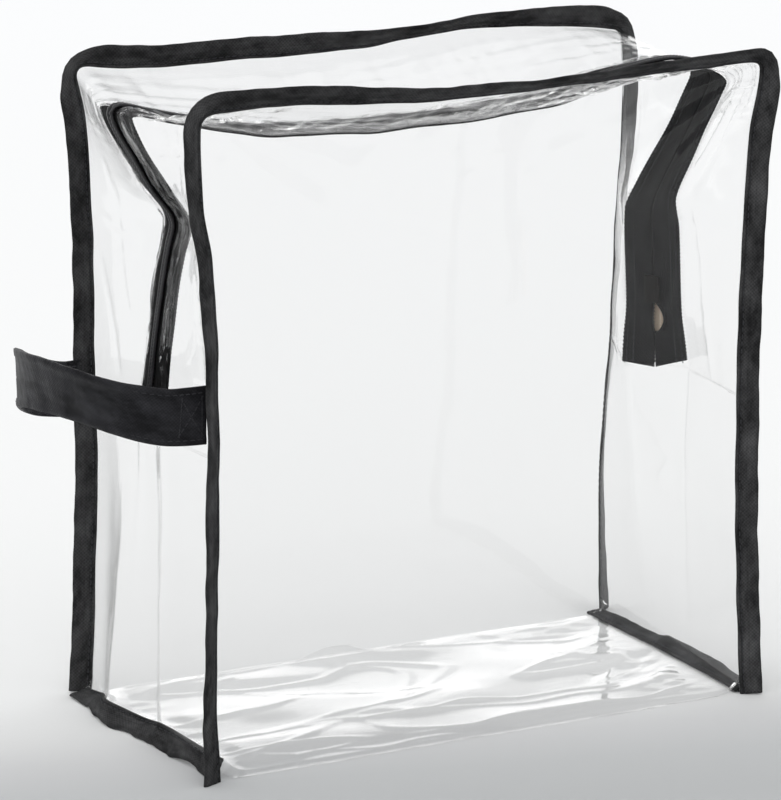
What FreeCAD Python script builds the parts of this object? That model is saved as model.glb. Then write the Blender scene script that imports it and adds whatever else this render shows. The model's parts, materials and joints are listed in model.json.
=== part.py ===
import FreeCAD, Part
import math
import os
from FreeCAD import Vector

# Clear film toiletry bag. Six-sided box of soft film, its seams bound in folded woven tape, a coil
# zipper round the middle of both sides and the top, and a strap handle on the left side.
# The front half above fold_z folds forward once the zipper is open.
# Origin: middle of the base, on the surface the bag stands on. +X right, +Y back, +Z up. Millimetres.

os.makedirs("parts", exist_ok=True)

# Overall sizes, measured over the bindings
height = 303.0
base_width = 286.0
top_width = 298.0
base_depth = 144.0
top_depth = 118.0

# Film and bindings
film = 0.4
binding_width = 10.5
binding_layer = 0.5
seam_allowance = 8.0
seam_corner_radius = 4.0
base_fold_radius = 4.0
base_fin_angle = 45.0
base_flat_margin = 28.0
front_sag = 7.0
front_sag_x = -40.0
back_sag = 1.5
back_sag_x = 20.0

# Zipper
tape_width = 32.0
tape_thickness = 0.6
tape_overlap = 4.0
tape_end_z = 142.0
slit_z = 148.0
coil_width = 2.4
coil_height = 2.2
coil_gap = 1.2
left_twist = -8.0
right_twist = 22.0
lens_low = 159.0
lens_high = 173.0
lens_width = 6.0
stop_height = 3.0
stop_thickness = 0.9

# Route of the zipper's middle. On the sides, how far it lies outside the side seams, and how far
# below the top; over the top, (distance from the middle, how far below the top).
left_end_out = 2.7
left_buckle_out = -13.7
left_buckle_drop = 67.0
left_corner_out = 15.8
left_corner_drop = 15.5
right_end_out = -6.8
right_buckle_out = -12.8
right_buckle_drop = 84.0
right_corner_out = 21.0
right_corner_drop = 24.5
top_route = [(-118.0, 23.0), (-80.0, 31.0), (-10.0, 32.0), (55.0, 28.0), (100.0, 19.0), (130.0, 14.0)]
corner_reach = 9.0
buckle_reach = 4.0

# Front flap
fold_z = 184.0
fold_gap = 0.3

# Slider and puller
slider_length = 13.0
slider_width = 9.0
slider_plate = 1.4
slider_clearance = 0.3
slider_low = 173.5
wedge_length = 4.0
wedge_clearance = 0.25
bridge_width = 2.0
bridge_thickness = 0.9
bridge_length = 7.0
pivot_diameter = 1.5
pivot_clearance = 0.25
puller_length = 36.0
puller_width = 8.0
puller_thickness = 1.5
puller_window = 7.5
puller_arm = 1.6

# Handle
strap_width = 26.0
strap_thickness = 1.8
strap_bow = 46.0
strap_start = 3.5
strap_lap = 12.0
strap_clearance = 0.3
tab_thickness = 1.2
tab_length = 13.0
tab_inset = 5.0
handle_front_z = 163.0
handle_back_z = 148.0
handle_rise = 10.0

fin_half = binding_layer + film
LEFT, RIGHT = -1, 1
FRONT, BACK = -1, 1
steps_per_corner = 4


# Where things are

def half_depth(z):
    """Half the bag's depth over the bindings at a height."""
    return (base_depth + (top_depth - base_depth) * z / height) / 2


def seam_half_width(z):
    """Distance of the side seams from the middle at a height."""
    return (base_width + (top_width - base_width) * z / height) / 2 - binding_width


def top_seam_z(face, x):
    """Height of the top seam of the front or back panel; the middle sags."""
    depth, lowest_x = (front_sag, front_sag_x) if face == FRONT else (back_sag, back_sag_x)
    reach = top_width / 2 - seam_corner_radius - binding_width
    share = (x - lowest_x) / (reach - math.copysign(lowest_x, (x - lowest_x) * lowest_x))
    sag = depth * math.cos(math.pi / 2 * max(-1.0, min(1.0, share))) ** 2
    return height - binding_width - sag


def on_panel(face, x, z, out=0.0):
    """Point of the front or back panel's seam plane, moved outward from the bag by out."""
    return Vector(x, face * (half_depth(z) - fin_half + out), z)


def seam_leg(side, z):
    """Seam point and outward direction in the panel's plane, on a side edge."""
    return (side * seam_half_width(z), z), (side, 0.0)


def seam_corner(face, side, step):
    """Seam point and outward direction on the rounded top corner of a panel."""
    middle_z = height - binding_width - seam_corner_radius
    middle_x = side * (seam_half_width(middle_z) - seam_corner_radius)
    turn = math.pi / 2 * step / (steps_per_corner - 1)
    out = (side * math.cos(turn), math.sin(turn))
    return (middle_x + seam_corner_radius * out[0], middle_z + seam_corner_radius * out[1]), out


def between(a, b, share):
    return a + (b - a) * share


def toward(a, b, distance):
    """Point at a distance from a on the straight line to b, both (x, z)."""
    length = math.hypot(b[0] - a[0], b[1] - a[1])
    return between(a[0], b[0], distance / length), between(a[1], b[1], distance / length)


def side_route(side):
    """The zipper's straight stretches on one side: end, buckle and corner as (x, z)."""
    if side == LEFT:
        outs = (left_end_out, left_buckle_out, left_corner_out)
        levels = (tape_end_z, height - left_buckle_drop, height - left_corner_drop)
    else:
        outs = (right_end_out, right_buckle_out, right_corner_out)
        levels = (tape_end_z, height - right_buckle_drop, height - right_corner_drop)
    return [(side * (seam_half_width(z) + out), z) for out, z in zip(outs, levels)]


def over_the_top():
    """Points (x, z) of the zipper's route over the top."""
    return [(x, height - drop) for x, drop in top_route]


def leg_x(side, z):
    """The zipper's middle on a side, at a height."""
    end, buckle, corner = side_route(side)
    low, high = (end, buckle) if z <= buckle[1] else (buckle, corner)
    return between(low[0], high[0], (z - low[1]) / (high[1] - low[1]))


def twist(side, z):
    """How far the tape's front edge turns outward, in degrees about Z."""
    full = left_twist if side == LEFT else right_twist
    end, buckle, corner = side_route(side)
    return full * max(0.0, min(1.0, (corner[1] - z) / (corner[1] - buckle[1])))


# Stations round the bag: a seam point on the front or back panel and the zipper's middle beside it

def leg_station(side, z):
    return {"seam": seam_leg(side, z), "zip": (leg_x(side, z), z), "twist": twist(side, z)}


def corner_stations(face, side):
    """Seam corner beside the zipper's corner, from the side towards the top."""
    end, buckle, corner = side_route(side)
    first_top = over_the_top()[0] if side == LEFT else over_the_top()[-1]
    low = toward(corner, buckle, corner_reach)
    high = toward(corner, first_top, corner_reach)
    stations = []
    for step in range(steps_per_corner):
        share = step / (steps_per_corner - 1)
        place = tuple(between(between(a, b, share), between(b, c, share), share)
                      for a, b, c in zip(low, corner, high))
        stations.append({"seam": seam_corner(face, side, step), "zip": place, "twist": 0.0})
    return stations


def top_places():
    """Points of the zipper's route over the top, with one between each pair."""
    route = over_the_top()
    places = [route[0]]
    for near, far in zip(route, route[1:]):
        places += [(between(near[0], far[0], 0.5), between(near[1], far[1], 0.5)), far]
    return places


def round_the_bag(face, left_low, right_low):
    """All stations from the left side over the top to the right side."""
    def leg(side, low):
        buckle_z = side_route(side)[1][1]
        corner_z = side_route(side)[2][1]
        levels = [low, buckle_z - buckle_reach, buckle_z, between(buckle_z, corner_z, 0.5)]
        return [leg_station(side, z) for z in levels]
    top = [{"seam": ((x, top_seam_z(face, x)), (0.0, 1.0)), "zip": (x, z), "twist": 0.0}
           for x, z in top_places()]
    return (leg(LEFT, left_low) + corner_stations(face, LEFT) + top
            + corner_stations(face, RIGHT)[::-1] + leg(RIGHT, right_low)[::-1])


def add_zip_axes(stations):
    """Direction across the tape towards the front, and the tape's outward normal, at each station."""
    last = len(stations) - 1
    for index, station in enumerate(stations):
        before = stations[max(index - 1, 0)]["zip"]
        after = stations[min(index + 1, last)]["zip"]
        along = Vector(after[0] - before[0], 0, after[1] - before[1]).normalize()
        turn = math.radians(station["twist"])
        across = Vector(math.sin(turn), -math.cos(turn), 0)
        across = (across - along * across.dot(along)).normalize()
        station["across"] = across
        station["out"] = across.cross(along)
    return stations


def run_axes(side):
    """Directions of the straight run on a side: up the run, across to the front, and outward."""
    end, buckle, corner = side_route(side)
    up = Vector(buckle[0] - end[0], 0, buckle[1] - end[1]).normalize()
    turn = math.radians(twist(side, tape_end_z))
    across = Vector(math.sin(turn), -math.cos(turn), 0)
    across = (across - up * across.dot(up)).normalize()
    return up, across, across.cross(up * -side)


def on_zip(station, across, out):
    """Point beside the zipper's middle: across towards the front, out from the bag."""
    x, z = station["zip"]
    return Vector(x, 0, z) + station["across"] * across + station["out"] * out


# Building closed solids

def triangle_fan(a, b, c, d):
    """Two flat triangles for the four-sided patch a, b, c, d, skipping any that has no area."""
    faces = []
    for p, q, r in ((a, b, c), (a, c, d)):
        if (q - p).cross(r - p).Length > 1e-6:
            faces.append(Part.Face(Part.makePolygon([p, q, r, p])))
    return faces


def ribbon(stations):
    """Closed solid through stations, each a list of points on one side and as many on the other.

    Both sides are split along the same diagonals, so that a thin twisted sheet keeps its thickness.
    """
    faces = []
    for (near_a, near_b), (far_a, far_b) in zip(stations, stations[1:]):
        for index in range(len(near_a) - 1):
            following = index + 1
            faces += triangle_fan(near_a[index], near_a[following], far_a[following], far_a[index])
            faces += triangle_fan(near_b[index], far_b[index], far_b[following], near_b[following])
        for edge in (0, -1):
            faces += triangle_fan(near_a[edge], near_b[edge], far_b[edge], far_a[edge])
    for side_a, side_b in (stations[0], stations[-1]):
        for index in range(len(side_a) - 1):
            faces += triangle_fan(side_a[index], side_a[index + 1], side_b[index + 1], side_b[index])
    shell = Part.Shell(faces)
    shell.sewShape()
    solid = Part.Solid(shell)
    if solid.Volume < 0:
        return ribbon([(side_b, side_a) for side_a, side_b in stations])
    if not solid.isValid() or not shell.isClosed():
        raise ValueError("a ribbon isn't a closed solid")
    return solid


def save(name, *solids):
    shape = solids[0] if len(solids) == 1 else Part.makeCompound(list(solids))
    shape.exportStep("parts/" + name + ".step")


# Bindings: tape folded over the two film edges

def folded_section(place):
    """Both sides of the folded tape's section; place(u, v) gives a point, u along the fin, v through it."""
    slot = film
    end = binding_width - binding_layer
    outer = [place(0, fin_half), place(binding_width, fin_half),
             place(binding_width, -fin_half), place(0, -fin_half)]
    inner = [place(0, slot), place(end, slot), place(end, -slot), place(0, -slot)]
    return outer, inner


def panel_binding(face, seams):
    """Binding along seam points of the front or back panel; the fin lies in the panel's plane."""
    sections = []
    for (x, z), (out_x, out_z) in seams:
        def place(u, v, x=x, z=z, out_x=out_x, out_z=out_z):
            return on_panel(face, x + out_x * u, z + out_z * u, v)
        sections.append(folded_section(place))
    return ribbon(sections)


def base_seam_z():
    """Height of the base's side seams, so that the slanted fin just reaches the floor."""
    slant = math.radians(base_fin_angle)
    return binding_width * math.sin(slant) + fin_half * math.cos(slant)


def base_flat_reach():
    """Half the depth of the base film's flat part, between its front and back folds."""
    return half_depth(base_fold_radius) - fin_half + film - 2 * base_fold_radius


def base_binding(side):
    """Binding along a side edge of the base's flat part, slanting down and out to the floor."""
    slant = math.radians(base_fin_angle)
    sections = []
    for y in (-base_flat_reach(), base_flat_reach()):
        def place(u, v, y=y):
            x = seam_half_width(base_seam_z()) + u * math.cos(slant) + v * math.sin(slant)
            z = base_seam_z() - u * math.sin(slant) + v * math.cos(slant)
            return Vector(side * x, y, z)
        sections.append(folded_section(place))
    return ribbon(sections)


# Film panels

def flat_panel(face, outline):
    """Panel of film with an outline of (x, z) points, its inner face on the seam plane."""
    points = [on_panel(face, x, z) for x, z in outline]
    return Part.Face(Part.makePolygon(points + points[:1])).extrude(Vector(0, face * film, 0))


def upper_outline(face, low):
    """Outline of a panel from a height up to its bound edges, seam allowance included."""
    seams = [seam_leg(LEFT, low)]
    seams += [seam_corner(face, LEFT, step) for step in range(steps_per_corner)]
    seams += [((x, top_seam_z(face, x)), (0.0, 1.0)) for x, z in top_places()]
    seams += [seam_corner(face, RIGHT, step) for step in reversed(range(steps_per_corner))]
    seams += [seam_leg(RIGHT, low)]
    return [(x + out_x * seam_allowance, z + out_z * seam_allowance) for (x, z), (out_x, out_z) in seams]


def lower_front_outline():
    low, high = base_fold_radius, fold_z - fold_gap / 2
    corners = [(LEFT, low), (LEFT, high), (RIGHT, high), (RIGHT, low)]
    return [(side * (seam_half_width(z) + seam_allowance), z) for side, z in corners]


def base_panel():
    """Base film: flat on the floor, turned up at the front and back, lifted to its side seams.

    Round the folds its side edges stop at the bindings, which they would otherwise cut through.
    """
    slant = math.radians(base_fin_angle)

    def section(y, z, lift_share, inward, allowance=seam_allowance):
        columns = []
        for side in (LEFT, RIGHT):
            lift = base_seam_z() * lift_share
            seam_x = seam_half_width(z + lift)
            flange = between(allowance, allowance * math.cos(slant), lift_share)
            drop = allowance * math.sin(slant) * lift_share
            column = [(side * (seam_x + flange), z + lift - drop), (side * seam_x, z + lift),
                      (side * (seam_x - base_flat_margin), z)]
            columns += column if side == LEFT else column[::-1]
        outer = [Vector(x, y, level) for x, level in columns]
        return outer, [point + inward * film for point in outer]

    radius = base_fold_radius
    sections = []
    for face in (FRONT, BACK):
        turn_y = base_flat_reach() + radius
        arc = []
        for step in range(4):
            turn = math.pi / 2 * step / 3
            y = face * (turn_y + radius * math.cos(turn))
            z = radius - radius * math.sin(turn)
            inward = Vector(0, -face * math.cos(turn), math.sin(turn))
            allowance = seam_allowance if step == 0 else film
            arc.append(section(y, z, 0.35 * math.sin(turn), inward, allowance))
        arc.append(section(face * base_flat_reach(), 0.0, 1.0, Vector(0, 0, 1)))
        sections += arc if face == FRONT else arc[::-1]
    return ribbon(sections)


# Gussets: the film strips between a panel's seam and the zipper

def strip_section(face, station):
    """A strip's section: the overlap under the tape, the tape's edge, the seam and its allowance."""
    (x, z), (out_x, out_z) = station["seam"]
    edge = -face * tape_width / 2
    lap = -face * (tape_width / 2 - tape_overlap)
    under = -tape_thickness / 2

    def at_seam(u, v):
        return on_panel(face, x + out_x * u, z + out_z * u, v)

    outer = [on_zip(station, lap, under), on_zip(station, edge, under),
             at_seam(0, -film), at_seam(seam_allowance, -film)]
    inner = [on_zip(station, lap, under - film), on_zip(station, edge, under - film),
             at_seam(-film, 0), at_seam(seam_allowance, 0)]
    return outer, inner


def film_strip(face, stations):
    return ribbon([strip_section(face, station) for station in add_zip_axes(stations)])


def gusset_side(face, side, z, edge, out):
    """Outer and inner points of a gusset's section, from a bound edge to the zipper tape's edge."""
    seam_x = side * seam_half_width(z)
    bound_x = seam_x + side * seam_allowance
    outer = [on_panel(face, bound_x, z, -film), on_panel(face, seam_x, z, -film), edge]
    inner = [on_panel(face, bound_x, z), on_panel(face, seam_x - side * film, z), edge - out * film]
    return outer, inner


def gusset(side):
    """Whole-depth film of a side, from the base seam up to the end of the zipper's slit."""
    up, run_across, run_out = run_axes(side)
    low = base_seam_z() + film
    levels = [between(low, tape_end_z, share) for share in (0, 0.33, 0.67, 1)] + [slit_z]
    sections = []
    for z in levels:
        share = min(1.0, (z - low) / (tape_end_z - low))
        across = between(Vector(0, -1, 0), run_across, share).normalize()
        out = between(Vector(side, 0, 0), run_out, share).normalize()
        middle_x = between(side * seam_half_width(z), leg_x(side, max(z, tape_end_z)), share)
        under = Vector(middle_x, 0, z) - out * (tape_thickness / 2)
        front = gusset_side(FRONT, side, z, under + across * (tape_width / 2), out)
        back = gusset_side(BACK, side, z, under - across * (tape_width / 2), out)
        sections.append((front[0] + back[0][::-1], front[1] + back[1][::-1]))
    return ribbon(sections)


# Zipper

def half_gap(station, side):
    """Half the gap between the two coils; below the slider they part in a lens shape."""
    z = station["zip"][1]
    opened = 0.0
    if side == RIGHT and lens_low < z < lens_high:
        opened = (lens_width - coil_gap) / 2 * math.sin(math.pi * (z - lens_low) / (lens_high - lens_low))
    return coil_gap / 2 + opened


def tape(face, stations, side=0):
    """Half of the zipper tape; its section bends only where the coil and the film strip end on it."""
    sections = []
    for station in add_zip_axes(stations):
        gap = half_gap(station, side)
        reaches = (gap, gap + coil_width, tape_width / 2 - tape_overlap, tape_width / 2)
        sections.append([[on_zip(station, -face * reach, level) for reach in reaches]
                         for level in (tape_thickness / 2, -tape_thickness / 2)])
    return ribbon(sections)


def coil(face, stations, side=0):
    sections = []
    for station in add_zip_axes(stations):
        near = -face * half_gap(station, side)
        far = near - face * coil_width
        low, high = tape_thickness / 2, tape_thickness / 2 + coil_height
        sections.append(([on_zip(station, near, high), on_zip(station, far, high)],
                         [on_zip(station, near, low), on_zip(station, far, low)]))
    return ribbon(sections)


def end_stations(side, low, high):
    """Stations of a zipper end from low to high, with those that shape the lens gap."""
    levels = [low]
    if side == RIGHT:
        levels += [between(lens_low, lens_high, share) for share in (0, 0.25, 0.5, 0.75, 1)]
    levels = [z for z in levels if low <= z < high] + [high]
    ordered = levels if side == LEFT else levels[::-1]
    return [leg_station(side, z) for z in ordered]


def rear_stations():
    """Whole zipper route for the rear tape, with its lens-shaped gap on the right."""
    lens = [between(lens_low, lens_high, share) for share in (0.75, 0.5, 0.25, 0)]
    ends = [leg_station(RIGHT, z) for z in lens + [tape_end_z]]
    return round_the_bag(BACK, tape_end_z, lens_high) + ends


def on_run(z):
    return Vector(leg_x(RIGHT, z), 0, z)


def block(base, axes, up, across, out):
    """Box given by its reach along up, across and out, each (low, high), from a base point."""
    along_run, across_run, out_run = axes
    corner = base + along_run * up[0] + across_run * across[0] + out_run * out[0]
    face = Part.Face(Part.makePolygon([
        corner,
        corner + along_run * (up[1] - up[0]),
        corner + along_run * (up[1] - up[0]) + across_run * (across[1] - across[0]),
        corner + across_run * (across[1] - across[0]),
        corner]))
    return face.extrude(out_run * (out[1] - out[0]))


def coil_top():
    return tape_thickness / 2 + coil_height


def slider_outer():
    """Height of the slider's outer face above the tape's middle."""
    return coil_top() + slider_clearance + slider_plate


def bridge_top():
    return slider_outer() + pivot_diameter + 2 * pivot_clearance + bridge_thickness


def slider():
    """Two plates joined by the wedge between the coils, with the bridge that holds the puller."""
    axes = run_axes(RIGHT)
    base = on_run(slider_low)
    half = slider_width / 2
    under = -(tape_thickness / 2 + slider_clearance)
    over = coil_top() + slider_clearance
    wedge_half = coil_gap / 2 - wedge_clearance
    bridge_low = slider_length / 2 - bridge_length / 2
    bridge_high = slider_length / 2 + bridge_length / 2
    bridge_half = (-bridge_width / 2, bridge_width / 2)
    bridge_out = (bridge_top() - bridge_thickness, bridge_top())
    pieces = [
        block(base, axes, (0, slider_length), (-half, half), (over, over + slider_plate)),
        block(base, axes, (0, slider_length), (-half, half), (under - slider_plate, under)),
        block(base, axes, (0, wedge_length), (-wedge_half, wedge_half), (under, over)),
        block(base, axes, (bridge_low, bridge_high), bridge_half, bridge_out),
    ]
    for low in (bridge_low, bridge_high - bridge_thickness):
        post = (low, low + bridge_thickness)
        pieces.append(block(base, axes, post, bridge_half, (slider_outer(), bridge_top())))
    return pieces[0].multiFuse(pieces[1:]).removeSplitter()


def puller_pivot():
    """Middle of the puller's pivot bar, under the slider's bridge."""
    up, across, out = run_axes(RIGHT)
    height_above = slider_outer() + pivot_clearance + pivot_diameter / 2
    bar_up = slider_length / 2 + bridge_length / 2 - bridge_thickness - pivot_clearance - pivot_diameter / 2
    return on_run(slider_low) + up * bar_up + out * height_above


def puller():
    """Ring round the bridge with a tongue below it; the ring's top bar is the pivot."""
    axes = run_axes(RIGHT)
    up, across, out = axes
    pivot = puller_pivot()
    half_thick = puller_thickness / 2
    half_window = puller_width / 2 - puller_arm
    bar = Part.makeCylinder(pivot_diameter / 2, puller_width, pivot - across * (puller_width / 2), across)
    thick = (-half_thick, half_thick)
    tongue = (-puller_width / 2, puller_width / 2)
    pieces = [
        block(pivot, axes, (-puller_window, 0), (half_window, puller_width / 2), thick),
        block(pivot, axes, (-puller_window, 0), (-puller_width / 2, -half_window), thick),
        block(pivot, axes, (-puller_length, -puller_window), tongue, thick),
    ]
    return bar.multiFuse(pieces).removeSplitter()


def end_stop(side, z):
    """Metal stop across the tops of both coils, just below where they part."""
    pair = [leg_station(side, z - stop_height), leg_station(side, z)]
    half = coil_gap / 2 + coil_width
    low, high = coil_top(), coil_top() + stop_thickness
    sections = []
    for station in add_zip_axes(pair if side == LEFT else pair[::-1]):
        sections.append(([on_zip(station, -half, high), on_zip(station, half, high)],
                         [on_zip(station, -half, low), on_zip(station, half, low)]))
    return ribbon(sections)


# Handle

def strap_plane(face):
    """Distance from the middle plane to the strap's outer face where it laps over a sewn tab."""
    z = handle_front_z if face == FRONT else handle_back_z
    tallest = z + strap_width / 2
    return half_depth(tallest) - 2 * fin_half - tab_thickness - strap_clearance


def tab_root():
    """Distance from the middle to the sewn end of the tabs, inside the binding's outer edge."""
    return seam_half_width(handle_back_z) + binding_width - tab_inset


def tab(face):
    """Sewn end of the strap: lies against the inner face of the binding's fin."""
    middle = handle_front_z if face == FRONT else handle_back_z
    inner_y = face * (strap_plane(face) + strap_clearance)
    sections = []
    for z in (middle - strap_width / 2, middle + strap_width / 2):
        xs = (-tab_root(), -tab_root() - tab_length)
        outer = [on_panel(face, x, z, -fin_half) for x in xs]
        inner = [Vector(x, inner_y, z) for x in xs]
        sections.append((outer, inner))
    return ribbon(sections)


def strap():
    """Bowed strap between the two tabs, its ends lapped 0.3 mm clear of them."""
    start = tab_root() + tab_inset + strap_start
    front_y = -strap_plane(FRONT) + strap_thickness / 2
    back_y = strap_plane(BACK) - strap_thickness / 2
    middle_y, reach_y = (front_y + back_y) / 2, (back_y - front_y) / 2
    bend_x = start + strap_lap
    reach_x = strap_bow - strap_lap
    route = [(-start, front_y, Vector(0, -1, 0))]
    for step in range(13):
        turn = -math.pi / 2 + math.pi * step / 12
        normal = Vector(-math.cos(turn) / reach_x, math.sin(turn) / reach_y, 0).normalize()
        route.append((-bend_x - reach_x * math.cos(turn), middle_y + reach_y * math.sin(turn), normal))
    route.append((-start, back_y, Vector(0, 1, 0)))
    sections = []
    for x, y, normal in route:
        share = (y - front_y) / (back_y - front_y)
        level = between(handle_front_z, handle_back_z, share) + handle_rise * math.sin(math.pi * share)
        outside, inside = [], []
        for z in (level - strap_width / 2, level + strap_width / 2):
            outside.append(Vector(x, y, z) + normal * (strap_thickness / 2))
            inside.append(Vector(x, y, z) - normal * (strap_thickness / 2))
        sections.append((outside, inside))
    return ribbon(sections)


def handle_axis():
    """Point on the line, along Y, about which the strap swings at its sewn ends."""
    lap_middle = tab_root() + tab_inset + strap_start + (tab_length - tab_inset - strap_start) / 2
    return Vector(-lap_middle, 0, (handle_front_z + handle_back_z) / 2)


def fold_axis():
    """Point on the line, along X, about which the front flap folds, just in front of the binding."""
    return Vector(0, -half_depth(fold_z) - fold_gap, fold_z)


def make_panels():
    save("back_panel", flat_panel(BACK, upper_outline(BACK, base_fold_radius)))
    save("lower_front_panel", flat_panel(FRONT, lower_front_outline()))
    save("flap_panel", flat_panel(FRONT, upper_outline(FRONT, fold_z + fold_gap / 2)))
    save("base_panel", base_panel())


def make_gussets():
    save("left_gusset", gusset(LEFT))
    save("right_gusset", gusset(RIGHT))
    save("rear_strip", film_strip(BACK, round_the_bag(BACK, slit_z, slit_z)))
    above = fold_z + fold_gap / 2
    below = fold_z - fold_gap / 2
    save("flap_strip", film_strip(FRONT, round_the_bag(FRONT, above, above)))
    save("left_strip_end", film_strip(FRONT, [leg_station(LEFT, slit_z), leg_station(LEFT, below)]))
    save("right_strip_end", film_strip(FRONT, [leg_station(RIGHT, below), leg_station(RIGHT, slit_z)]))


def make_bindings():
    above = fold_z + fold_gap / 2
    below = fold_z - fold_gap / 2
    back = round_the_bag(BACK, 0.0, 0.0)
    save("back_binding", panel_binding(BACK, [station["seam"] for station in back]))
    flap = round_the_bag(FRONT, above, above)
    save("flap_binding", panel_binding(FRONT, [station["seam"] for station in flap]))
    save("left_front_binding", panel_binding(FRONT, [seam_leg(LEFT, 0.0), seam_leg(LEFT, below)]))
    save("right_front_binding", panel_binding(FRONT, [seam_leg(RIGHT, 0.0), seam_leg(RIGHT, below)]))
    save("left_base_binding", base_binding(LEFT))
    save("right_base_binding", base_binding(RIGHT))


def make_zipper():
    above = fold_z + fold_gap / 2
    below = fold_z - fold_gap / 2
    save("rear_tape", tape(BACK, rear_stations(), RIGHT))
    save("rear_coil", coil(BACK, rear_stations(), RIGHT))
    save("flap_tape", tape(FRONT, round_the_bag(FRONT, above, above)))
    save("flap_coil", coil(FRONT, round_the_bag(FRONT, above, above)))
    for side, name in ((LEFT, "left"), (RIGHT, "right")):
        stations = end_stations(side, tape_end_z, below)
        save(name + "_tape_end", tape(FRONT, stations, side))
        save(name + "_coil_end", coil(FRONT, stations, side))
        save(name + "_end_stop", end_stop(side, lens_low))
    save("slider", slider())
    save("puller", puller())


def make_handle():
    save("handle_strap", strap())
    save("handle_front_tab", tab(FRONT))
    save("handle_back_tab", tab(BACK))


make_panels()
make_gussets()
make_bindings()
make_zipper()
make_handle()
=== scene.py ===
import json
import math

import bpy
import numpy as np
from bpy.props import FloatProperty, FloatVectorProperty, PointerProperty
from mathutils import Matrix, Vector, noise


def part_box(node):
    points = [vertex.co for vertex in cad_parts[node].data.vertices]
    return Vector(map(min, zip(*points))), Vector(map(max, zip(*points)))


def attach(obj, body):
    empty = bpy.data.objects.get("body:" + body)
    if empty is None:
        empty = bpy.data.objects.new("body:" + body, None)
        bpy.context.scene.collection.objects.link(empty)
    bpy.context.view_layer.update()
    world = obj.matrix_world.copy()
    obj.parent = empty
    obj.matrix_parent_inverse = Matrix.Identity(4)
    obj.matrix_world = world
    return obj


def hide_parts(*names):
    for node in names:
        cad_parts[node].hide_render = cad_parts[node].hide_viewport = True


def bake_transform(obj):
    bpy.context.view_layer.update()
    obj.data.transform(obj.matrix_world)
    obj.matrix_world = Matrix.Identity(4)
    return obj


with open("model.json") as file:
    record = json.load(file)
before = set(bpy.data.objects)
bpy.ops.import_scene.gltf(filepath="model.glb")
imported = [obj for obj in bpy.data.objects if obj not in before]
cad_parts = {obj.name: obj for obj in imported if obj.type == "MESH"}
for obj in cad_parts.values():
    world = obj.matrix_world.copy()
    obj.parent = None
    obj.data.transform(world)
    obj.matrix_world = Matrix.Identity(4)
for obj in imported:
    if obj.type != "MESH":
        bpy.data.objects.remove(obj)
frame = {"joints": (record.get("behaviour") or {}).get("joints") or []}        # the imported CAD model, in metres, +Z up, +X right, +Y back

# Looks of a clear toiletry bag: soft clear film, seams bound in folded woven tape, a coil zipper over
# both sides and the top, and a woven strap handle on the left side.
# Shapes below are given in millimetres in the frame's axes, and meshes are made in metres.

bl_info = {
    "name": "Clear Toiletry Bag",
    "version": (1, 0, 0),
    "blender": (4, 5, 0),
    "location": "3D View > Sidebar > Toiletry Bag",
    "description": "Builds the looks of a clear film toiletry bag around its frame",
    "category": "Object",
}

MM = 0.001
LEFT, RIGHT = -1, 1
FRONT, BACK = -1, 1
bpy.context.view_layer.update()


# Sizes that come from the frame, in millimetres

def box_mm(node):
    """A node's lowest and highest corners."""
    low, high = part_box(node)
    return low / MM, high / MM


BASE_FRONT = box_mm("left_front_binding")[0].y
FLAP_LOW = box_mm("flap_binding")[0]
FOLD_Z = FLAP_LOW.z
SEAM_INSET = 0.9         # from a panel's outer face to the plane where its two films meet


def half_depth(z):
    """Half the bag's depth over the bindings at a height."""
    return -(BASE_FRONT + (FLAP_LOW.y - BASE_FRONT) * z / FOLD_Z)


def panel_y(face, z):
    """The plane in which a panel's films meet, at a height."""
    return face * (half_depth(z) - SEAM_INSET)


# Smooth curves through a few chosen points

def smooth_curve(keys, count):
    """Evenly spaced rows of a smooth curve through key rows, whose first two numbers are a place."""
    keys = np.array(keys, float)
    padded = np.vstack([2 * keys[0] - keys[1], keys, 2 * keys[-1] - keys[-2]])
    share = np.linspace(0, 1, 24, endpoint=False)[:, None]
    spans = []
    for before, near, far, after in zip(padded, padded[1:], padded[2:], padded[3:]):
        gap = max(np.hypot(*(far - near)[:2]), 1e-6)
        slope_in = (far - before) * gap / max(gap + np.hypot(*(near - before)[:2]), 1e-6)
        slope_out = (after - near) * gap / max(gap + np.hypot(*(after - far)[:2]), 1e-6)
        spans.append((2 * share**3 - 3 * share**2 + 1) * near + (share**3 - 2 * share**2 + share) * slope_in
                     + (3 * share**2 - 2 * share**3) * far + (share**3 - share**2) * slope_out)
    rows = np.vstack(spans + [keys[-1:]])
    length = lengths(rows)
    even = np.linspace(0, length[-1], count)
    return np.column_stack([np.interp(even, length, column) for column in rows.T])


def lengths(rows):
    """Length along a curve to each of its rows."""
    steps = np.hypot(*np.diff(rows[:, :2], axis=0).T)
    return np.concatenate([[0], np.cumsum(steps)])


def wobble(*place):
    """Smooth noise from -1 to 1 that is the same in each run."""
    padded = list(place) + [0.37] * (3 - len(place))
    return noise.noise(Vector(padded))


def ease(share):
    """From 0 to 1 with a soft start and end."""
    share = max(0.0, min(1.0, share))
    return share * share * (3 - 2 * share)


# The seams: x, z and how far the bound edge leans outward from the panel's plane, in degrees

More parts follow.
